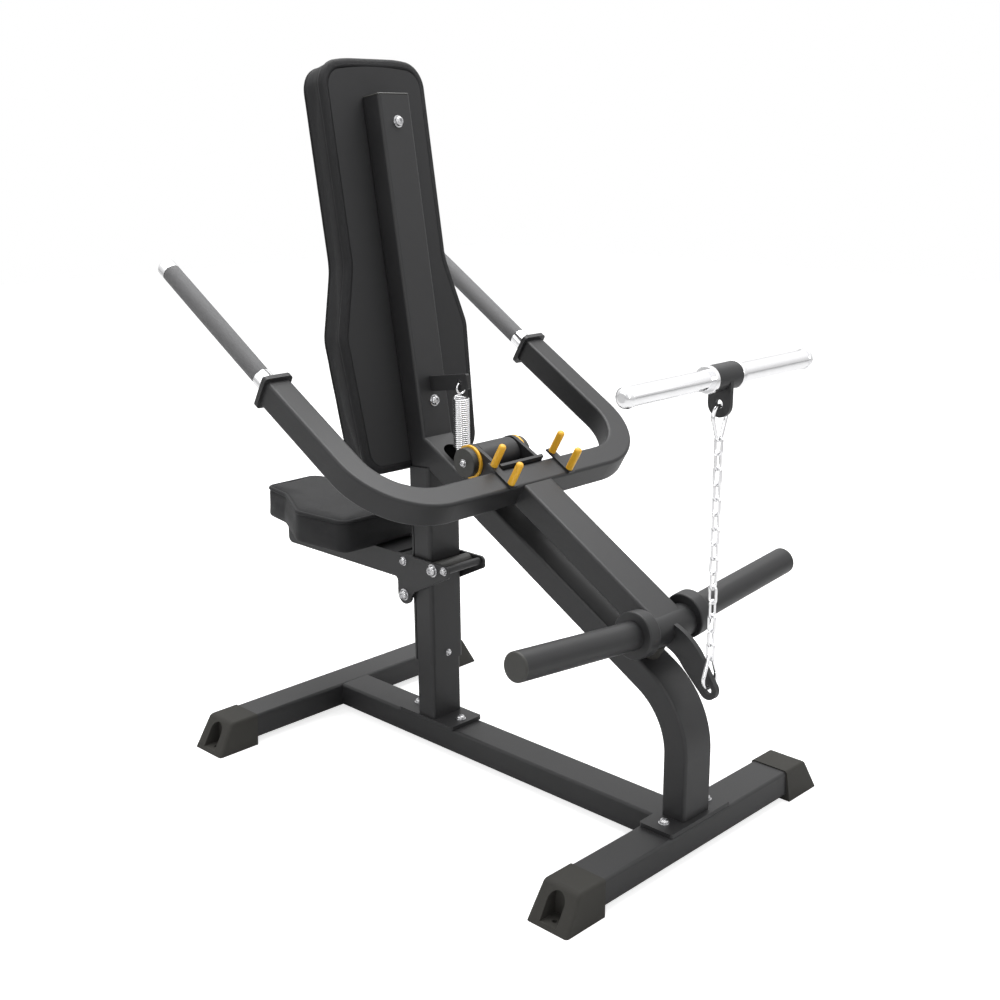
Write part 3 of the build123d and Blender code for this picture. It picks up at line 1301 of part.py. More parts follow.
# ------------------------------------------------------------------ pull bar
def swivel_sleeve():
    """The bar turns in this sleeve: its flat tab hangs down to the upper hook."""
    y = TAIL_EYE_Y
    tab = capsule((y, BAR_Z), (y, TAB_EYE_Z), TAB_W / 2) - Pos(y, TAB_EYE_Z) * Circle(TAB_HOLE_R)
    sleeve = rod(*across(-SWIVEL_HALF, SWIVEL_HALF, y, BAR_Z), SWIVEL_R)
    sleeve += extrude(side_plane(-TAB_T / 2) * tab, amount=TAB_T)
    return sleeve - rod(*across(-SWIVEL_HALF - CUT_PAST, SWIVEL_HALF + CUT_PAST, y, BAR_Z), BAR_R + RUN_GAP)


def pull_bar():
    reach = BAR_HALF - BAR_CAP_T
    return rod(*across(-reach, reach, TAIL_EYE_Y, BAR_Z), BAR_R, BAR_R - BAR_WALL)


def bar_ring(side):
    start = SWIVEL_HALF + SIDE_GAP
    ends = sorted((side * start, side * (start + BAR_RING_T)))
    ring = rod(*across(*ends, TAIL_EYE_Y, BAR_Z), BAR_RING_R, BAR_R)
    rims = ring.edges().filter_by(GeomType.CIRCLE).group_by(SortBy.RADIUS)[-1]
    return fillet(rims, BAR_RING_EDGE_R)


def bar_cap(side):
    start = side * (BAR_HALF - BAR_CAP_T)
    plane = Plane(origin=(start, TAIL_EYE_Y, BAR_Z), x_dir=(0, 1, 0), z_dir=(side, 0, 0))
    cap = Cylinder(BAR_CAP_R, BAR_CAP_T, align=(Align.CENTER, Align.CENTER, Align.MIN))
    return plane.location * fillet(cap.edges().group_by(Axis.Z)[-1], BAR_CAP_R * BAR_DOME_SHARE)


# ------------------------------------------------------------------ write the parts
def sleeve_bolt():
    return bolt(sleeve_bolt_plane(), SLEEVE_WASHER_R, SLEEVE_BOLT_R, SLEEVE_WALL + TUBE_WALL)


def main():
    os.makedirs("parts", exist_ok=True)
    sides = {"left": 1, "right": -1}
    ends = {"front": -1, "rear": 1}

    save("front_crossbar", crossbar(-1))
    save("rear_crossbar", rear_crossbar())
    save("base_rail", base_rail())
    for end, side_y in ends.items():
        for name, side_x in sides.items():
            save(f"foot_{end}_{name}", foot(side_x, side_y))

    save("post_stub", post_plate() + post_stub())
    save("post_sleeve", post_sleeve())
    save("upper_post", upper_post())
    save("post_cap", post_cap())
    save("main_beam", main_beam())
    save("beam_plate", beam_plate())
    save("frame_bolts", all_of([*post_bolts(), *beam_bolts(), sleeve_bolt(), *pad_bolts()]))
    save("stop_bumper", stop_bumper())
    save("pivot_housing", pivot_housing())
    save("pivot_bushes", pivot_bushes())
    save("housing_cheeks", all_of(cheek(side) for side in sides.values()))
    save("spring_tab", spring_tab())
    save("return_spring", return_spring())
    save("backpad_board", backpad_board())
    save("backpad_cushion", backpad_cushion())

    save("lever_bracket", lever_bracket())
    save("spring_lug", spring_lug())
    save("u_frame", u_frame())
    save("lever_arm", lever_arm())
    save("pivot_shaft", pivot_shaft())
    save("hub_bolts", hub_bolts())
    save("weight_tube", weight_tube())
    save("tail_plate", tail_plate())
    for name, side in sides.items():
        save(f"foam_grip_{name}", foam_grip(side))
        save(f"weight_peg_{name}", weight_peg(side))
    save("hub_rings", all_of(hub_ring(side) for side in sides.values()))
    save("hub_caps", all_of(hub_cap(side) for side in sides.values()))
    save("arm_flanges", all_of(arm_flange(side) for side in sides.values()))
    save("handle_tubes", all_of(handle_tube(side) for side in sides.values()))
    save("handle_collars", all_of(handle_collar(side) for side in sides.values()))
    save("grip_caps", all_of(grip_cap(side) for side in sides.values()))
    save("stop_collars", all_of(stop_collar(side) for side in sides.values()))
    save("weight_caps", all_of(weight_cap(side) for side in sides.values()))
    cradle = (CRADLE_LEFT_X, CRADLE_RIGHT_X)
    save("cradle_straps", all_of(cradle_strap(x) for x in cradle))
    save("cradle_pegs", all_of(peg for x in cradle for peg in cradle_pegs(x)))

    save("carriage_plates", all_of(carriage_plate(side) for side in sides.values()))
    save("carriage_web", carriage_web())
    save("carriage_cross_tubes", all_of([release_bar(), carriage_spacer()]))
    save("carriage_bolts", all_of([*carriage_bolts(), *seat_bolts()]))
    save("roller_axles", all_of(roller_axles()))
    save("seat_board", seat_board())
    save("seat_cushion", seat_cushion())
    save("rear_roller", rear_roller())
    save("front_roller", front_roller())

    save("snap_hooks", all_of([*lower_hook(), *upper_hook()]))
    save("chain_links", chain_links())
    save("swivel_sleeve", swivel_sleeve())
    save("pull_bar", pull_bar())
    save("bar_fittings", all_of([bar_ring(1), bar_ring(-1), bar_cap(1), bar_cap(-1)]))


main()
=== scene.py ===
"""Looks for the seated dip machine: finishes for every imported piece, stuffed pads with their trim, foam
grips and a wound spring."""

import json
import math

import bmesh
import bpy
import numpy as np
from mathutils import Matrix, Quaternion, Vector
from mathutils.bvhtree import BVHTree


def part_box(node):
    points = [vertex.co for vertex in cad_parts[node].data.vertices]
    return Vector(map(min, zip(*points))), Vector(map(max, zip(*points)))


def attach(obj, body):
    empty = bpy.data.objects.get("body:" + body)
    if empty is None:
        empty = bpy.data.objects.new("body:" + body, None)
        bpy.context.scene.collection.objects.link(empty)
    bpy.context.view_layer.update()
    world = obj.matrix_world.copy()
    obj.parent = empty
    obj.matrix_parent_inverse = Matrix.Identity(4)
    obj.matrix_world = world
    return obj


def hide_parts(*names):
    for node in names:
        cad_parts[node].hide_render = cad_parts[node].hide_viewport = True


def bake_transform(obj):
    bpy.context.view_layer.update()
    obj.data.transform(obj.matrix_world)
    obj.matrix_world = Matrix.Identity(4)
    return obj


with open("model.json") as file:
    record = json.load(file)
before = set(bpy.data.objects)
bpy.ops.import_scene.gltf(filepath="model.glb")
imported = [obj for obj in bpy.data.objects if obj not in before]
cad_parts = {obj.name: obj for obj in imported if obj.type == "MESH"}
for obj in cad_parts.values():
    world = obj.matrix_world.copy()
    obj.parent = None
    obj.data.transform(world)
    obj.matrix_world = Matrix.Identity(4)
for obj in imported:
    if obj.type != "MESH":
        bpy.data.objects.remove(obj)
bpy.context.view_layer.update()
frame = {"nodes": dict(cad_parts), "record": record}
nodes = frame["nodes"]

# ------------------------------------------------------------------ camera
CAMERA_AT = (1.7447, 1.7995, 1.2223)
CAMERA_HEADING = math.radians(-136.693)
CAMERA_PITCH = math.radians(-17.313)
CAMERA_ROLL = math.radians(-0.118)
CAMERA_LENS = 48.85
CAMERA_SENSOR = 36.0
CAMERA_SHIFT_X = -0.03375
CAMERA_SHIFT_Y = 0.04963


def place_camera():
    """The camera looks along its heading and pitch, then rolls about its own axis."""
    data = bpy.data.cameras.new("camera")
    data.lens = CAMERA_LENS
    data.sensor_width = CAMERA_SENSOR
    data.shift_x = CAMERA_SHIFT_X
    data.shift_y = CAMERA_SHIFT_Y
    camera = bpy.data.objects.new("camera", data)
    level = math.cos(CAMERA_PITCH)
    sideways = level * math.cos(CAMERA_HEADING)
    ahead = Vector((sideways, level * math.sin(CAMERA_HEADING), math.sin(CAMERA_PITCH)))
    camera.rotation_mode = "QUATERNION"
    camera.rotation_quaternion = ahead.to_track_quat("-Z", "Y") @ Quaternion((0, 0, 1), CAMERA_ROLL)
    camera.location = CAMERA_AT
    bpy.context.scene.collection.objects.link(camera)
    bpy.context.scene.camera = camera


place_camera()


# ------------------------------------------------------------------ finishes
NOISE_ROUGHNESS = 0.55

# The sockets of Blender's Mix node that carry colours
MIX_FIRST = 6
MIX_SECOND = 7
MIX_RESULT = 2


class Signal:
    """One socket of a finish. Arithmetic on it adds Math nodes."""

    def __init__(self, finish, socket):
        self.finish = finish
        self.socket = socket

    def combine(self, operation, first, second):
        return self.finish.node("ShaderNodeMath", {"operation": operation}, {0: first, 1: second})

    def __add__(self, other):
        return self.combine("ADD", self, other)

    def __sub__(self, other):
        return self.combine("SUBTRACT", self, other)

    def __rsub__(self, other):
        return self.combine("SUBTRACT", other, self)

    def __mul__(self, other):
        return self.combine("MULTIPLY", self, other)


class Finish:
    """A material's or a world's node tree, built from nothing."""

    def __init__(self, owner):
        self.owner = owner
        owner.use_nodes = True
        self.tree = owner.node_tree
        self.tree.nodes.clear()

    def node(self, kind, settings=None, sockets=None, out=0):
        """Adds a node: its settings first, then each socket's value or link. Gives the output asked for."""
        made = self.tree.nodes.new(kind)
        for setting, value in (settings or {}).items():
            setattr(made, setting, value)
        for key, value in (sockets or {}).items():
            if isinstance(value, Signal):
                self.tree.links.new(value.socket, made.inputs[key])
            else:
                made.inputs[key].default_value = value
        return Signal(self, made.outputs[out]) if len(made.outputs) else None

    def place(self, stretch=(1.0, 1.0, 1.0)):
        """Object coordinates, stretched along the axes."""
        spot = self.node("ShaderNodeTexCoord", out="Object")
        return self.node("ShaderNodeMapping", sockets={"Vector": spot, "Scale": stretch})

    def noise(self, scale, detail=2.0, stretch=(1.0, 1.0, 1.0)):
        """Cloudy noise between 0 and 1. The larger the scale, the finer it is."""
        sockets = {
            "Vector": self.place(stretch),
            "Scale": scale,
            "Detail": detail,
            "Roughness": NOISE_ROUGHNESS,
        }
        return self.node("ShaderNodeTexNoise", sockets=sockets, out="Fac")

    def cells(self, scale, feature="F1"):
        """Distance to the middle of the nearest cell, or to the nearest edge between cells."""
        return self.node(
            "ShaderNodeTexVoronoi",
            {"feature": feature},
            {"Vector": self.place(), "Scale": scale, "Randomness": 1.0},
            out="Distance",
        )

    def ramp(self, value, low, high):
        """Runs smoothly from 0 to 1 as the value goes from low to high."""
        return self.node(
            "ShaderNodeMapRange",
            {"interpolation_type": "SMOOTHSTEP"},
            {"Value": value, "From Min": low, "From Max": high},
        )

    def blend(self, share, first, second):
        """A colour between two colours."""
        return self.node(
            "ShaderNodeMix",
            {"data_type": "RGBA"},
            {"Factor": share, MIX_FIRST: (*first, 1.0), MIX_SECOND: (*second, 1.0)},
            out=MIX_RESULT,
        )

    def bump(self, height, depth, strength):
        """The normal of a surface that stands out by height * depth. Strength is how much of it shows."""
        sockets = {"Height": height, "Distance": depth, "Strength": strength}
        return self.node("ShaderNodeBump", sockets=sockets)

    def ray_is(self, kind):
        """1 for rays of the kind, such as Is Camera Ray, and 0 for others."""
        return self.node("ShaderNodeLightPath", out=kind)

    def shade(self, sockets):
        """Closes the finish: the sockets' values and links go into one Principled surface."""
        surface = self.node("ShaderNodeBsdfPrincipled", sockets=sockets)
        self.node("ShaderNodeOutputMaterial", sockets={"Surface": surface})
        return self.owner


def powder_coat(name, dark, light):
    """Satin powder coat: fine orange peel, faint clouding and a little dust in fine specks."""
    finish = Finish(bpy.data.materials.new(name))
    peel = finish.noise(scale=650.0, detail=3.0)
    clouds = finish.noise(scale=9.0, detail=3.0)
    specks = finish.ramp(finish.noise(scale=1500.0, detail=1.0), low=0.60, high=0.75)
    return finish.shade({
        "Base Color": finish.blend(clouds * 0.7 + specks * 0.3, dark, light),
        "Roughness": clouds * 0.10 + peel * 0.08 + 0.37,
        "Normal": finish.bump(peel, depth=0.00012, strength=0.6),
        "Specular IOR Level": 0.45,
    })


def grained_leather(name, dark, light):
    """Synthetic leather: pebbled grain with creases between the pebbles, painted darker there as shade, and
    a soft broad mottling.
    """
    finish = Finish(bpy.data.materials.new(name))
    pebbles = finish.cells(scale=720.0)
    creases = finish.ramp(finish.cells(scale=720.0, feature="DISTANCE_TO_EDGE"), low=0.0, high=0.12)
    mottle = finish.noise(scale=22.0, detail=4.0)
    return finish.shade({
        # Painted shade: the colour darkens in the creases between the pebbles, where the bump sinks
        "Base Color": finish.blend(mottle * 0.6 + creases * 0.4, dark, light),
        "Roughness": mottle * 0.12 + (1 - creases) * 0.12 + 0.46,
        "Normal": finish.bump(creases - pebbles * 0.3, depth=0.00022, strength=0.6),
        "Specular IOR Level": 0.22,
    })


def open_foam(name, dark, light):
    """Grip foam: small closed cells, some of them open at the skin, with painted shade that darkens the
    open pores and the hollows between the lumps.
    """
    finish = Finish(bpy.data.materials.new(name))
    pores = finish.ramp(finish.cells(scale=900.0), low=0.10, high=0.45)
    lumps = finish.noise(scale=260.0, detail=3.0)
    return finish.shade({
        # Painted shade: the colour follows the bump's height, darker in the pores and between the lumps
        "Base Color": finish.blend(pores * 0.6 + lumps * 0.4, dark, light),
        "Roughness": lumps * 0.12 + 0.70,
        "Normal": finish.bump(pores + lumps * 0.5, depth=0.00035, strength=0.7),
    })


def moulded_rubber(name, dark, light):
    """Matt boot rubber: a fine moulding grain under a cloudy bloom."""
    finish = Finish(bpy.data.materials.new(name))
    grain = finish.noise(scale=800.0)
    bloom = finish.noise(scale=14.0, detail=3.0)
    return finish.shade({
        "Base Color": finish.blend(bloom * 0.8 + grain * 0.2, dark, light),
        "Roughness": bloom * 0.12 + 0.66,
        "Normal": finish.bump(grain, depth=0.0001, strength=0.6),
        "Specular IOR Level": 0.32,
    })


def moulded_plastic(name, dark, light, roughness):
    """Moulded plastic: a fine grain, and faint flow lines drawn out along the height."""
    finish = Finish(bpy.data.materials.new(name))
    grain = finish.noise(scale=1100.0)
    flow = finish.noise(scale=30.0, stretch=(1.0, 1.0, 0.4))
    return finish.shade({
        "Base Color": finish.blend(flow, dark, light),
        "Roughness": grain * 0.08 + flow * 0.06 + (roughness - 0.07),
        "Normal": finish.bump(grain, depth=0.00006, strength=0.5),
    })


def plated_steel(name, dark, light, roughness, streak=(1.0, 1.0, 1.0)):
    """Bright plate over steel: faint polishing lines and finger smears."""
    finish = Finish(bpy.data.materials.new(name))
    lines = finish.noise(scale=420.0, stretch=streak)
    smears = finish.noise(scale=26.0, detail=4.0)
    return finish.shade({
        "Base Color": finish.blend(smears, dark, light),
        "Metallic": 1.0,
        "Roughness": smears * 0.07 + lines * 0.05 + (roughness - 0.06),
        "Normal": finish.bump(lines, depth=0.00004, strength=0.4),
    })


def backing_cloth(name, dark, light):
    """Thin black lining stapled over the boards: a plain weave of two crossed sets of threads."""
    finish = Finish(bpy.data.materials.new(name))
    across = finish.noise(scale=1.0, stretch=(1400.0, 60.0, 60.0))
    along = finish.noise(scale=1.0, stretch=(60.0, 60.0, 1400.0))
    weave = across * 0.5 + along * 0.5
    return finish.shade({
        "Base Color": finish.blend(weave, dark, light),
        "Roughness": weave * 0.1 + 0.72,
        "Normal": finish.bump(weave, depth=0.0002, strength=0.7),
    })


# Each finish runs between a dark and a light colour. Plastics and plates also take their mean roughness.
finishes = {
    "powder_coat": powder_coat("powder_coat", (0.016, 0.016, 0.017), (0.028, 0.028, 0.029)),
    "black_rubber": moulded_rubber("boot_rubber", (0.032, 0.031, 0.027), (0.052, 0.050, 0.045)),
    "grip_foam": open_foam("grip_foam", (0.085, 0.085, 0.086), (0.175, 0.175, 0.178)),
    "moulded_plastic": moulded_plastic("cap_plastic", (0.030, 0.030, 0.027), (0.046, 0.045, 0.041), 0.50),
    "chrome": plated_steel("chrome", (0.86, 0.86, 0.87), (0.96, 0.96, 0.97), 0.13),
    "bright_steel": plated_steel(
        "bright_steel", (0.56, 0.56, 0.57), (0.70, 0.70, 0.71), 0.26, streak=(1.0, 0.1, 1.0)
    ),
    "zinc_plate": plated_steel("zinc_plate", (0.50, 0.50, 0.51), (0.64, 0.64, 0.65), 0.26),
    "yellow_plastic": moulded_plastic("yellow_plastic", (0.92, 0.46, 0.030), (0.98, 0.56, 0.045), 0.34),
    "upholstery": grained_leather("upholstery", (0.009, 0.009, 0.010), (0.018, 0.018, 0.019)),
    "board": backing_cloth("backing_cloth", (0.010, 0.010, 0.011), (0.022, 0.022, 0.023)),
}


def dress(piece, slot):
    """Gives the piece one finish in place of what it had."""
    piece.data.materials.clear()
    piece.data.materials.append(finishes[slot])


for subpart in frame["record"]["subparts"]:
    dress(nodes[subpart["node"]], subpart["material_slot"])

# Bolt heads are zinc plated, duller than the bar's and the chain's chrome
for bolt_node in ("frame_bolts", "carriage_bolts", "hub_bolts", "roller_axles"):
    dress(nodes[bolt_node], "zinc_plate")


# ------------------------------------------------------------------ meshes
# Points on an outline's corner arc, and the even step between an outline's points
ARC_POINTS = 14
OUTLINE_STEP = 0.004


def smooth(mesh):
    mesh.polygons.foreach_set("use_smooth", np.ones(len(mesh.polygons), bool))
    mesh.update()


def new_piece(name, mesh):
    piece = bpy.data.objects.new(name, mesh)
    bpy.context.scene.collection.objects.link(piece)
    return piece


def grid_mesh(name, points, wrap_rows=False, close_ends=False):
    """A surface from points[row, column], each quad between two rows and two columns. The columns close
    on themselves, the rows do where asked, and open ends can get one face each."""
    rows, columns = points.shape[:2]
    index = np.arange(rows * columns).reshape(rows, columns)
    index = np.hstack([index, index[:, :1]])
    if wrap_rows:
        index = np.vstack([index, index[:1]])
    quads = np.stack([index[:-1, :-1], index[1:, :-1], index[1:, 1:], index[:-1, 1:]], -1)
    quads = quads.reshape(-1, 4).tolist()
    if close_ends:
        quads += [index[0, :-1].tolist(), index[-1, :-1][::-1].tolist()]
    mesh = bpy.data.meshes.new(name)
    mesh.from_pydata(points.reshape(-1, 3).tolist(), [], quads)
    tidy = bmesh.new()
    tidy.from_mesh(mesh)
    bmesh.ops.recalc_face_normals(tidy, faces=tidy.faces)
    tidy.to_mesh(mesh)
    tidy.free()
    smooth(mesh)
    return mesh


def unit(vectors):
    """Each vector at length 1."""
    return vectors / np.linalg.norm(vectors, axis=-1, keepdims=True)


def wire_mesh(name, path, outward, radius, sides, closed=False):
    """A round wire: point = path + radius * (cos(turn) * outward + sin(turn) * aside), where outward and
    aside both stand across the path."""
    ahead = np.roll(path, -1, 0) - np.roll(path, 1, 0) if closed else np.gradient(path, axis=0)
    ahead = unit(ahead)
    outward = unit(outward - (outward * ahead).sum(-1, keepdims=True) * ahead)
    aside = np.cross(ahead, outward)
    turn = np.linspace(0, 2 * math.pi, sides, endpoint=False)
    ring = np.cos(turn)[None, :, None] * outward[:, None] + np.sin(turn)[None, :, None] * aside[:, None]
    return grid_mesh(name, path[:, None] + radius * ring, wrap_rows=closed, close_ends=not closed)


def turned_mesh(name, centre, axis, profile, sides):
    """A turned piece: point = centre + along * axis + radius * (cos(turn) * across + sin(turn) * aside),
    with a profile row for each (along, radius)."""
    axis = unit(np.array(axis, float))
    across = unit(np.cross(axis, (1.0, 0.0, 0.0)))
    aside = np.cross(axis, across)
    turn = np.linspace(0, 2 * math.pi, sides, endpoint=False)
    ring = np.cos(turn)[:, None] * across + np.sin(turn)[:, None] * aside
    along, radius = np.array(profile, float).T
    points = np.array(centre) + along[:, None, None] * axis + radius[:, None, None] * ring[None]
    return grid_mesh(name, points, close_ends=True)


def joined(name, meshes):
    """Several meshes as one."""
    whole = bmesh.new()
    for mesh in meshes:
        whole.from_mesh(mesh)
    mesh = bpy.data.meshes.new(name)
    whole.to_mesh(mesh)
    whole.free()
    smooth(mesh)
    return mesh


def rounded_loop(corners):
    """Even points along a closed outline. Each corner is (x, y, radius): its arc touches both of its
    sides, so it starts radius / tan(half the corner's angle) before the corner."""
    corners = np.array(corners, float)
    spot, radius = corners[:, :2], corners[:, 2]
    back = unit(np.roll(spot, 1, 0) - spot)
    on = unit(np.roll(spot, -1, 0) - spot)
    half = np.arccos(np.clip((back * on).sum(-1), -1, 1)) / 2
    reach = radius / np.tan(half)
    centre = spot + unit(back + on) * (radius / np.sin(half))[:, None]
    runs = []
    for i in range(len(corners)):
        first = spot[i] + back[i] * reach[i] - centre[i]
        last = spot[i] + on[i] * reach[i] - centre[i]
        sweep = math.atan2(first[0] * last[1] - first[1] * last[0], first @ last)
        start = math.atan2(first[1], first[0])
        turn = start + np.linspace(0, sweep, ARC_POINTS)
        runs.append(centre[i] + radius[i] * np.stack([np.cos(turn), np.sin(turn)], -1))
    loop = np.concatenate(runs + [runs[0][:1]])
    length = np.concatenate([[0], np.cumsum(np.linalg.norm(np.diff(loop, axis=0), axis=-1))])
    even = np.linspace(0, length[-1], int(length[-1] / OUTLINE_STEP), endpoint=False)
    return np.stack([np.interp(even, length, loop[:, 0]), np.interp(even, length, loop[:, 1])], -1)


# ------------------------------------------------------------------ stuffed pads
# The cover as cloth under pressure
SIM_FRAMES = 20
STUFFING_PRESSURE = 4.0
COVER_QUALITY = 4
COVER_MASS = 0.3
COVER_STIFFNESS = 30.0
COVER_BENDING = 1.5

# The skin is taken in by TUCK, and by less within TUCK_EASE of the board. Within HELD_DEPTH it is held.
TUCK = 0.0008
TUCK_EASE = 0.02
HELD_DEPTH = 0.008
EVENING_ROUNDS = 14

# Points nearer than SAME_POINT are one point. NO_MOVE keeps an unmoved point from dividing by zero.
SAME_POINT = 0.00001
NO_MOVE = 1e-9


def mesh_points(mesh):
    """The mesh's points, one row each."""
    flat = np.zeros(len(mesh.vertices) * 3, np.float32)
    mesh.vertices.foreach_get("co", flat)
    return flat.reshape(-1, 3).astype(float)


def mesh_normals(mesh):
    """The mesh's normals at its points, one row each."""
    flat = np.zeros(len(mesh.vertices) * 3, np.float32)
    mesh.vertices.foreach_get("normal", flat)
    return flat.reshape(-1, 3).astype(float)


def set_points(mesh, points):
    mesh.vertices.foreach_set("co", points.astype(np.float32).ravel())
    mesh.update()


def evened(mesh, moved):
    """Each point's movement drawn half way to its neighbours' mean, round after round, which takes out
    the folds."""
    ends = np.zeros(len(mesh.edges) * 2, np.int32)
    mesh.edges.foreach_get("vertices", ends)
    first, second = ends.reshape(-1, 2).T
    count = np.bincount(ends, minlength=len(moved))[:, None]
    for _ in range(EVENING_ROUNDS):
        total = np.zeros_like(moved)
        np.add.at(total, first, moved[second])
        np.add.at(total, second, moved[first])
        moved = (moved + total / count) / 2
    return moved


def applied(piece):
    """The piece's mesh with its modifiers worked in."""
    seen = piece.evaluated_get(bpy.context.evaluated_depsgraph_get())
    mesh = bpy.data.meshes.new_from_object(seen)
    piece.modifiers.clear()
    piece.data = mesh
    return mesh


def remeshed(name, node, voxel):
    """A node's solid as a closed skin of even squares, each a voxel wide."""
    mesh = nodes[node].data.copy()
    weld = bmesh.new()
    weld.from_mesh(mesh)
    bmesh.ops.remove_doubles(weld, verts=weld.verts, dist=SAME_POINT)
    weld.to_mesh(mesh)
    weld.free()
    piece = new_piece(name, mesh)
    remesh = piece.modifiers.new("even", "REMESH")
    remesh.mode = "VOXEL"
    remesh.voxel_size = voxel
    applied(piece)
    return piece


def press_cover(piece, held_points):
    """The skin as cloth under pressure from inside, with its back held on the board."""
    held = piece.vertex_groups.new(name="held")
    held.add(held_points, 1.0, "REPLACE")
    cloth = piece.modifiers.new("cover", "CLOTH")
    cloth.settings.quality = COVER_QUALITY
    cloth.settings.mass = COVER_MASS
    cloth.settings.tension_stiffness = COVER_STIFFNESS
    cloth.settings.compression_stiffness = COVER_STIFFNESS
    cloth.settings.bending_stiffness = COVER_BENDING
    cloth.settings.use_pressure = True
    cloth.settings.uniform_pressure_force = STUFFING_PRESSURE
    cloth.settings.vertex_group_mass = "held"
    cloth.settings.effector_weights.gravity = 0.0
    cloth.point_cache.frame_start = 1
    cloth.point_cache.frame_end = SIM_FRAMES
    for step in range(1, SIM_FRAMES + 1):
        bpy.context.scene.frame_set(step)
    mesh = applied(piece)
    bpy.context.scene.frame_set(1)
    return mesh


def stuffed_pad(name, node, voxel, swell, back_point, back_normal, body):
    """A pad blown up like a stuffed cover: its solid's skin is taken in a little, swollen as pressed cloth
    with its back held on the board, and the swelling is evened out. No point moves further than swell."""
    piece = remeshed(name, node, voxel)
    start = mesh_points(piece.data)
    depth = (start - np.array(back_point)) @ np.array(back_normal)
    free = np.clip(depth / TUCK_EASE, 0, 1)[:, None]
    small = start - mesh_normals(piece.data) * TUCK * free
    set_points(piece.data, small)
    mesh = press_cover(piece, np.nonzero(depth < HELD_DEPTH)[0].tolist())
    moved = evened(mesh, mesh_points(mesh) - small)
    far = np.linalg.norm(moved, axis=-1, keepdims=True)
    set_points(mesh, small + moved * np.minimum(1.0, swell / np.maximum(far, NO_MOVE)))
    rounding = piece.modifiers.new("round", "SUBSURF")
    rounding.levels = rounding.render_levels = 1
    smooth(applied(piece))
    piece.vertex_groups.clear()
    dress(piece, "upholstery")
    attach(piece, body)
    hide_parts(node)
    return piece


def inset(loop, distance):
    """The closed outline moved inwards: each point goes to the left of the way the outline runs."""
    ahead = unit(np.roll(loop, -1, 0) - np.roll(loop, 1, 0))
    return loop + distance * np.stack([-ahead[:, 1], ahead[:, 0]], -1)


def cover_piece(name, mesh, body):
    """A trim piece of the pads' cover material."""
    piece = new_piece(name, mesh)
    dress(piece, "upholstery")
    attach(piece, body)
    return piece


def welt(name, pad, loop, radius, body):
    """A sewn welt: a thin cord of cover material on the pad's skin, at the points nearest to a closed
    line, each drawn to its neighbours so that the cord runs smoothly."""
    skin = BVHTree.FromObject(pad, bpy.context.evaluated_depsgraph_get())
    hits = [skin.find_nearest(Vector(point)) for point in loop]
    spots = np.array([hit[0] for hit in hits])
    outward = np.array([hit[1] for hit in hits])
    for _ in range(WELT_ROUNDS):
        spots = (np.roll(spots, 1, 0) + spots * 2 + np.roll(spots, -1, 0)) / 4
        outward = unit(np.roll(outward, 1, 0) + outward * 2 + np.roll(outward, -1, 0))
    path = spots + outward * radius * WELT_STAND
    cord = wire_mesh(name, path, outward, radius, WELT_SIDES, closed=True)
    return cover_piece(name, cord, body)


# Back pad, on the tilted post: each corner is (half width, height up the post from its knee, radius)
POST_TILT = math.radians(9.0)
POST_UP = np.array([0.0, -math.sin(POST_TILT), math.cos(POST_TILT)])
POST_FRONT = np.array([0.0, -math.cos(POST_TILT), -math.sin(POST_TILT)])
KNEE = np.array([0.0, -0.11275, 0.594])
POST_HALF_DEPTH = 0.025
BACK_PAD_ROOT = KNEE + POST_FRONT * POST_HALF_DEPTH
BACK_PAD_DEPTH = 0.065
BACK_PAD_LIP = 0.005
BACK_PAD_SIDE = [
    (0.146, -0.0025, 0.048),
    (0.163, 0.262, 0.060),
    (0.127, 0.392, 0.120),
    (0.127, 0.756, 0.050),
    (0.060, 0.7645, 0.250),
]

# Seat pad: each corner is (half width, place towards the rear, radius)
SEAT_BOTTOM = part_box("seat_cushion")[0].z
SEAT_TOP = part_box("seat_cushion")[1].z
SEAT_SIDE = [
    (0.068, -0.58375, 0.026),
    (0.084, -0.49275, 0.090),
    (0.151, -0.36875, 0.045),
    (0.138, -0.22875, 0.026),
]

# The squares of each pad's skin, and how far its points may swell
BACK_VOXEL = 0.0052
SEAT_VOXEL = 0.0042
BACK_SWELL = 0.0040
SEAT_SWELL = 0.0026

# The back pad's welt, laid WELT_DROP behind its front face. It stands out by this share of its radius.
WELT_R = 0.0021
WELT_DROP = 0.004
WELT_STAND = 0.2
WELT_ROUNDS = 6
WELT_SIDES = 10

# The seat's piping, laid this far in from the outline and this far below the top
PIPING_R = 0.0042
PIPING_INSET = 0.0060
PIPING_DROP = 0.0060
PIPING_SIDES = 12

# The cover's turned-in hem, as (how far in from the outline, how far in front of the post's front face)
HEM_PROFILE = [
    (0.0018, 0.0130),
    (0.0004, 0.0085),
    (0.0012, 0.0045),
    (0.0034, 0.0020),
    (0.0070, 0.0008),
    (0.0120, 0.0004),
    (0.0170, 0.0003),
    (0.0170, 0.0040),
    (0.0080, 0.0090),
]


def both_sides(side):
    """A closed outline from its right half, which is mirrored to the left."""
    return side + [(-x, y, r) for x, y, r in reversed(side)]


def on_post(loop, ahead):
    """A flat outline stood up along the tilted post, so far in front of the post's front face."""
    across = np.array([1.0, 0.0, 0.0])
    return BACK_PAD_ROOT + POST_FRONT * ahead + loop[:, :1] * across + loop[:, 1:] * POST_UP


back_loop = rounded_loop(both_sides(BACK_PAD_SIDE))
seat_loop = rounded_loop(both_sides(SEAT_SIDE))
back_line = on_post(back_loop, BACK_PAD_DEPTH - WELT_DROP)
seat_rim = inset(seat_loop, PIPING_INSET)
seat_line = np.column_stack([seat_rim, np.full(len(seat_rim), SEAT_TOP - PIPING_DROP)])

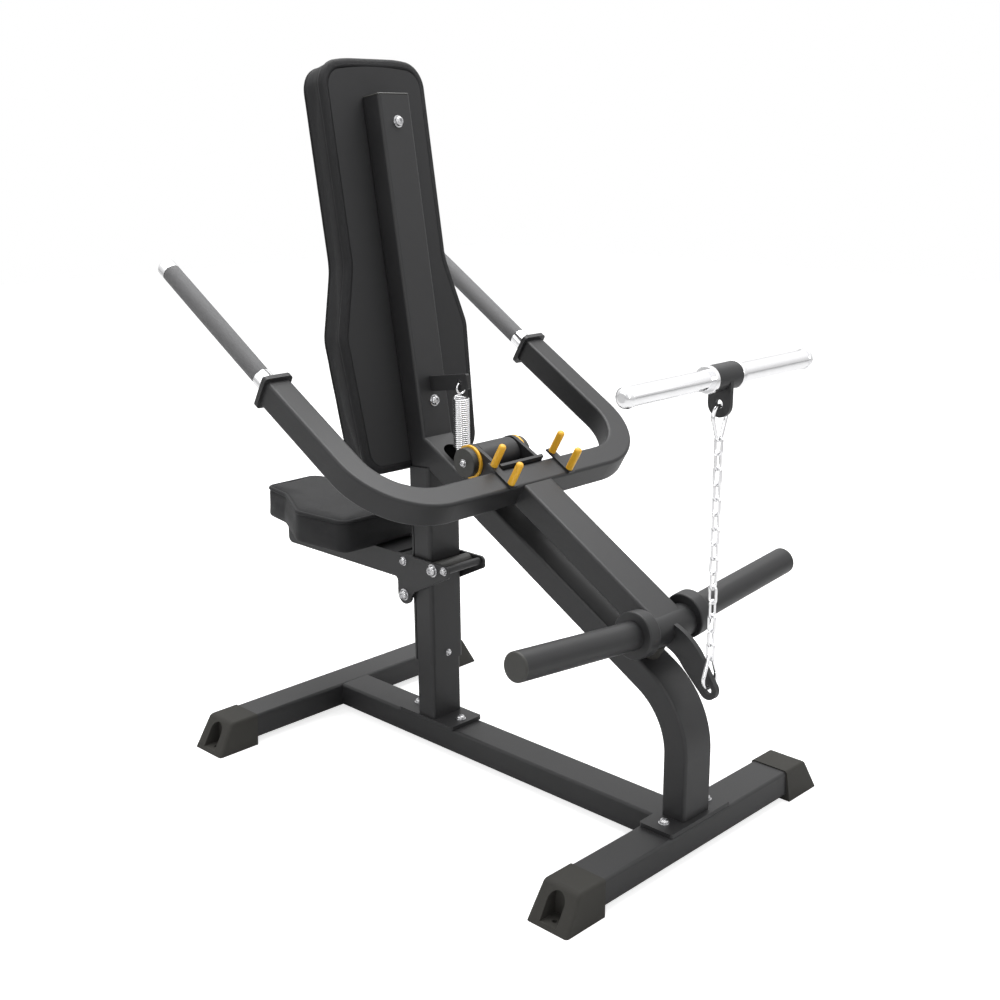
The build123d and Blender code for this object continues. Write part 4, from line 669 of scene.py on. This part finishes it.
back_foot = BACK_PAD_ROOT + POST_FRONT * BACK_PAD_LIP
seat_foot = (0.0, 0.0, SEAT_BOTTOM)
up = (0.0, 0.0, 1.0)
back_pad = stuffed_pad(
    "back_pad", "backpad_cushion", BACK_VOXEL, BACK_SWELL, back_foot, POST_FRONT, "frame"
)
seat_pad = stuffed_pad(
    "seat_pad", "seat_cushion", SEAT_VOXEL, SEAT_SWELL, seat_foot, up, "seat_carriage"
)
hem_rows = [on_post(inset(back_loop, within), ahead) for within, ahead in HEM_PROFILE]
cover_piece("back_pad_hem", grid_mesh("back_pad_hem", np.stack(hem_rows, 1), wrap_rows=True), "frame")
welt("back_pad_welt", back_pad, back_line, WELT_R, "frame")
seat_ups = np.tile(up, (len(seat_line), 1))
seat_cord = wire_mesh("seat_pad_piping", seat_line, seat_ups, PIPING_R, PIPING_SIDES, closed=True)
cover_piece("seat_pad_piping", seat_cord, "seat_carriage")

# ------------------------------------------------------------------ foam grips
GRIP_RISE = math.radians(31.76)
GRIP_AXIS = (0.0, -math.cos(GRIP_RISE), math.sin(GRIP_RISE))
GRIP_LENGTH = 0.312
GRIP_R = 0.0175
GRIP_ROUND = 0.0022
GRIP_CROWN = 0.0003
GRIP_MOUTH_R = 0.0145
GRIP_ROUND_POINTS = 6
GRIP_BODY_POINTS = 40
GRIP_SIDES = 48


def grip_profile():
    """A sleeve with quarter-round ends, a little fuller in its middle: between the ends, at a share t of
    half its length from the middle, radius = GRIP_R + GRIP_CROWN * (1 - t^2)."""
    half = GRIP_LENGTH / 2
    turn = np.linspace(math.pi / 2, 0, GRIP_ROUND_POINTS)
    low_along = -half + GRIP_ROUND * (1 - np.sin(turn))
    low = np.stack([low_along, GRIP_R - GRIP_ROUND * (1 - np.cos(turn))], -1)
    place = np.linspace(-half + GRIP_ROUND, half - GRIP_ROUND, GRIP_BODY_POINTS)[1:-1]
    body = np.stack([place, GRIP_R + GRIP_CROWN * (1 - (place / half) ** 2)], -1)
    opposite = (-1.0, 1.0)
    mouth = np.array([[-half, GRIP_MOUTH_R]])
    return np.concatenate([mouth, low, body, low[::-1] * opposite, mouth * opposite])


for side_name in ("left", "right"):
    node = f"foam_grip_{side_name}"
    low_corner, high_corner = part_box(node)
    middle = (low_corner + high_corner) / 2
    sleeve = turned_mesh(node, middle, GRIP_AXIS, grip_profile(), GRIP_SIDES)
    grip = new_piece(f"grip_{side_name}", sleeve)
    dress(grip, "grip_foam")
    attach(grip, "lever")
    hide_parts(node)

# ------------------------------------------------------------------ return spring
SPRING_Y = -0.03275
COIL_TOP_Z = 0.737
COIL_BOTTOM_Z = 0.636
COIL_TURNS = 25
COIL_R = 0.0143
COIL_WIRE_R = 0.0019
LOOP_R = 0.010
TOP_LOOP_Z = 0.7531
LOW_LOOP_Z = 0.6219
TURN_POINTS = 30
COIL_SIDES = 8
LOOP_POINTS = 48
LOOP_SIDES = 10
SHANK_POINTS = 10


def wound_coil():
    """A helix: point = COIL_R * (cos(turn), sin(turn)) at a height that rises evenly with the turn, from
    the coil's bottom to its top."""
    share = np.linspace(0, 1, COIL_TURNS * TURN_POINTS)
    turn = share * COIL_TURNS * 2 * math.pi
    outward = np.stack([np.cos(turn), np.sin(turn), np.zeros_like(turn)], -1)
    rise = COIL_BOTTOM_Z + COIL_WIRE_R + share * (COIL_TOP_Z - COIL_BOTTOM_Z - 2 * COIL_WIRE_R)
    path = outward * COIL_R + np.stack([np.zeros_like(rise), np.full_like(rise, SPRING_Y), rise], -1)
    return wire_mesh("coil", path, outward, COIL_WIRE_R, COIL_SIDES)


def end_loop(centre_z, coil_z):
    """A hook ring of radius LOOP_R that stands across the coil, and its shank, which bows out by
    COIL_R * sin(reach * 90 degrees) on its way from the ring to the coil's end."""
    toward = math.copysign(1.0, coil_z - centre_z)
    turn = np.linspace(0, 2 * math.pi, LOOP_POINTS, endpoint=False)
    outward = np.stack([np.sin(turn), np.zeros_like(turn), np.cos(turn)], -1)
    circle = outward * LOOP_R + (0.0, SPRING_Y, centre_z)
    ring = wire_mesh("ring", circle, outward, COIL_WIRE_R, LOOP_SIDES, closed=True)
    near = centre_z + toward * LOOP_R
    reach = np.linspace(0, 1, SHANK_POINTS)[:, None]
    bow = np.sin(reach * math.pi / 2) * COIL_R
    height = near + reach * (coil_z - toward * COIL_WIRE_R - near)
    path = np.hstack([bow, np.full_like(bow, SPRING_Y), height])
    rearward = np.tile([[0.0, 1.0, 0.0]], (SHANK_POINTS, 1))
    return ring, wire_mesh("shank", path, rearward, COIL_WIRE_R, LOOP_SIDES)


top_wires = end_loop(TOP_LOOP_Z, COIL_TOP_Z)
low_wires = end_loop(LOW_LOOP_Z, COIL_BOTTOM_Z)
spring = new_piece("wound_spring", joined("wound_spring", [wound_coil(), *top_wires, *low_wires]))
dress(spring, "chrome")
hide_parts("return_spring")
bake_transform(spring)

# ------------------------------------------------------------------ studio
FLOOR_HALF = 9.0
FLOOR_SINK = 0.0005
FLOOR_POINTS = 9
FLOOR_GLOW = 0.70
WORLD_LIGHT = 0.40
REFLECTED_LOW = 0.70
REFLECTED_HIGH = 1.15
MACHINE_MIDDLE = (0.0, 0.0, 0.6)

# Each softbox: where it stands, the spot it faces, its size, its power
SOFTBOXES = {
    "top": ((-0.45, -0.3, 3.2), (0.0, -0.1, 0.6), (3.0, 2.4), 108.0),
    "side": ((2.9, -1.2, 1.9), MACHINE_MIDDLE, (1.6, 2.2), 9.0),
    "back": ((-1.8, 2.8, 2.2), MACHINE_MIDDLE, (1.6, 2.2), 4.0),
    "rims": ((2.9, 2.7, 1.5), MACHINE_MIDDLE, (0.7, 1.0), 12.0),
}


def floor_finish():
    """Matt white floor with a little light of its own, so that it shows white and still keeps a soft
    shadow."""
    finish = Finish(bpy.data.materials.new("studio_floor"))
    grain = finish.noise(scale=3.0)
    diffuse = finish.node(
        "ShaderNodeBsdfDiffuse",
        sockets={"Color": finish.blend(grain, (0.88, 0.88, 0.88), (0.90, 0.90, 0.90)), "Roughness": 1.0},
    )
    own_light = finish.ray_is("Is Camera Ray") * FLOOR_GLOW
    glow = finish.node("ShaderNodeEmission", sockets={"Strength": own_light})
    both = finish.node("ShaderNodeAddShader", sockets={0: diffuse, 1: glow})
    finish.node("ShaderNodeOutputMaterial", sockets={"Surface": both})
    return finish.owner


def light_world():
    """White to the camera, WORLD_LIGHT on the machine. Polished metal sees it brighten from the horizon
    upwards, from REFLECTED_LOW to REFLECTED_HIGH."""
    world = bpy.data.worlds.new("studio")
    bpy.context.scene.world = world
    sky = Finish(world)
    spot = sky.node("ShaderNodeTexCoord", out="Generated")
    height = sky.node("ShaderNodeSeparateXYZ", sockets={"Vector": spot}, out="Z")
    rise = sky.ramp(height, low=-0.05, high=0.55)
    mirrored = rise * (REFLECTED_HIGH - REFLECTED_LOW) + (REFLECTED_LOW - WORLD_LIGHT)
    seen = sky.ray_is("Is Camera Ray") * (1.0 - WORLD_LIGHT)
    strength = seen + sky.ray_is("Is Glossy Ray") * mirrored + WORLD_LIGHT
    white = (1.0, 1.0, 1.0, 1.0)
    glow = sky.node("ShaderNodeBackground", sockets={"Color": white, "Strength": strength})
    sky.node("ShaderNodeOutputWorld", sockets={"Surface": glow})


def softbox(name, spot, aim, size, power):
    """A flat lamp that stands at the spot and faces its aim."""
    data = bpy.data.lights.new(name, "AREA")
    data.shape = "RECTANGLE"
    data.size, data.size_y = size
    data.energy = power
    lamp = bpy.data.objects.new(name, data)
    lamp.location = spot
    lamp.rotation_mode = "QUATERNION"
    lamp.rotation_quaternion = (Vector(aim) - Vector(spot)).to_track_quat("-Z", "Y")
    bpy.context.scene.collection.objects.link(lamp)


def lay_floor():
    """A flat square grid just under the machine."""
    edge = np.linspace(-FLOOR_HALF, FLOOR_HALF, FLOOR_POINTS)
    across, along = np.meshgrid(edge, edge)
    points = np.stack([across, along, np.full_like(across, -FLOOR_SINK)], -1)
    index = np.arange(FLOOR_POINTS**2).reshape(FLOOR_POINTS, FLOOR_POINTS)
    quads = np.stack([index[:-1, :-1], index[:-1, 1:], index[1:, 1:], index[1:, :-1]], -1)
    mesh = bpy.data.meshes.new("floor")
    mesh.from_pydata(points.reshape(-1, 3).tolist(), [], quads.reshape(-1, 4).tolist())
    floor = new_piece("floor", mesh)
    mesh.materials.append(floor_finish())


lay_floor()
light_world()
for box_name, (spot, aim, size, power) in SOFTBOXES.items():
    softbox(box_name, spot, aim, size, power)

bpy.context.scene.view_settings.view_transform = "Standard"
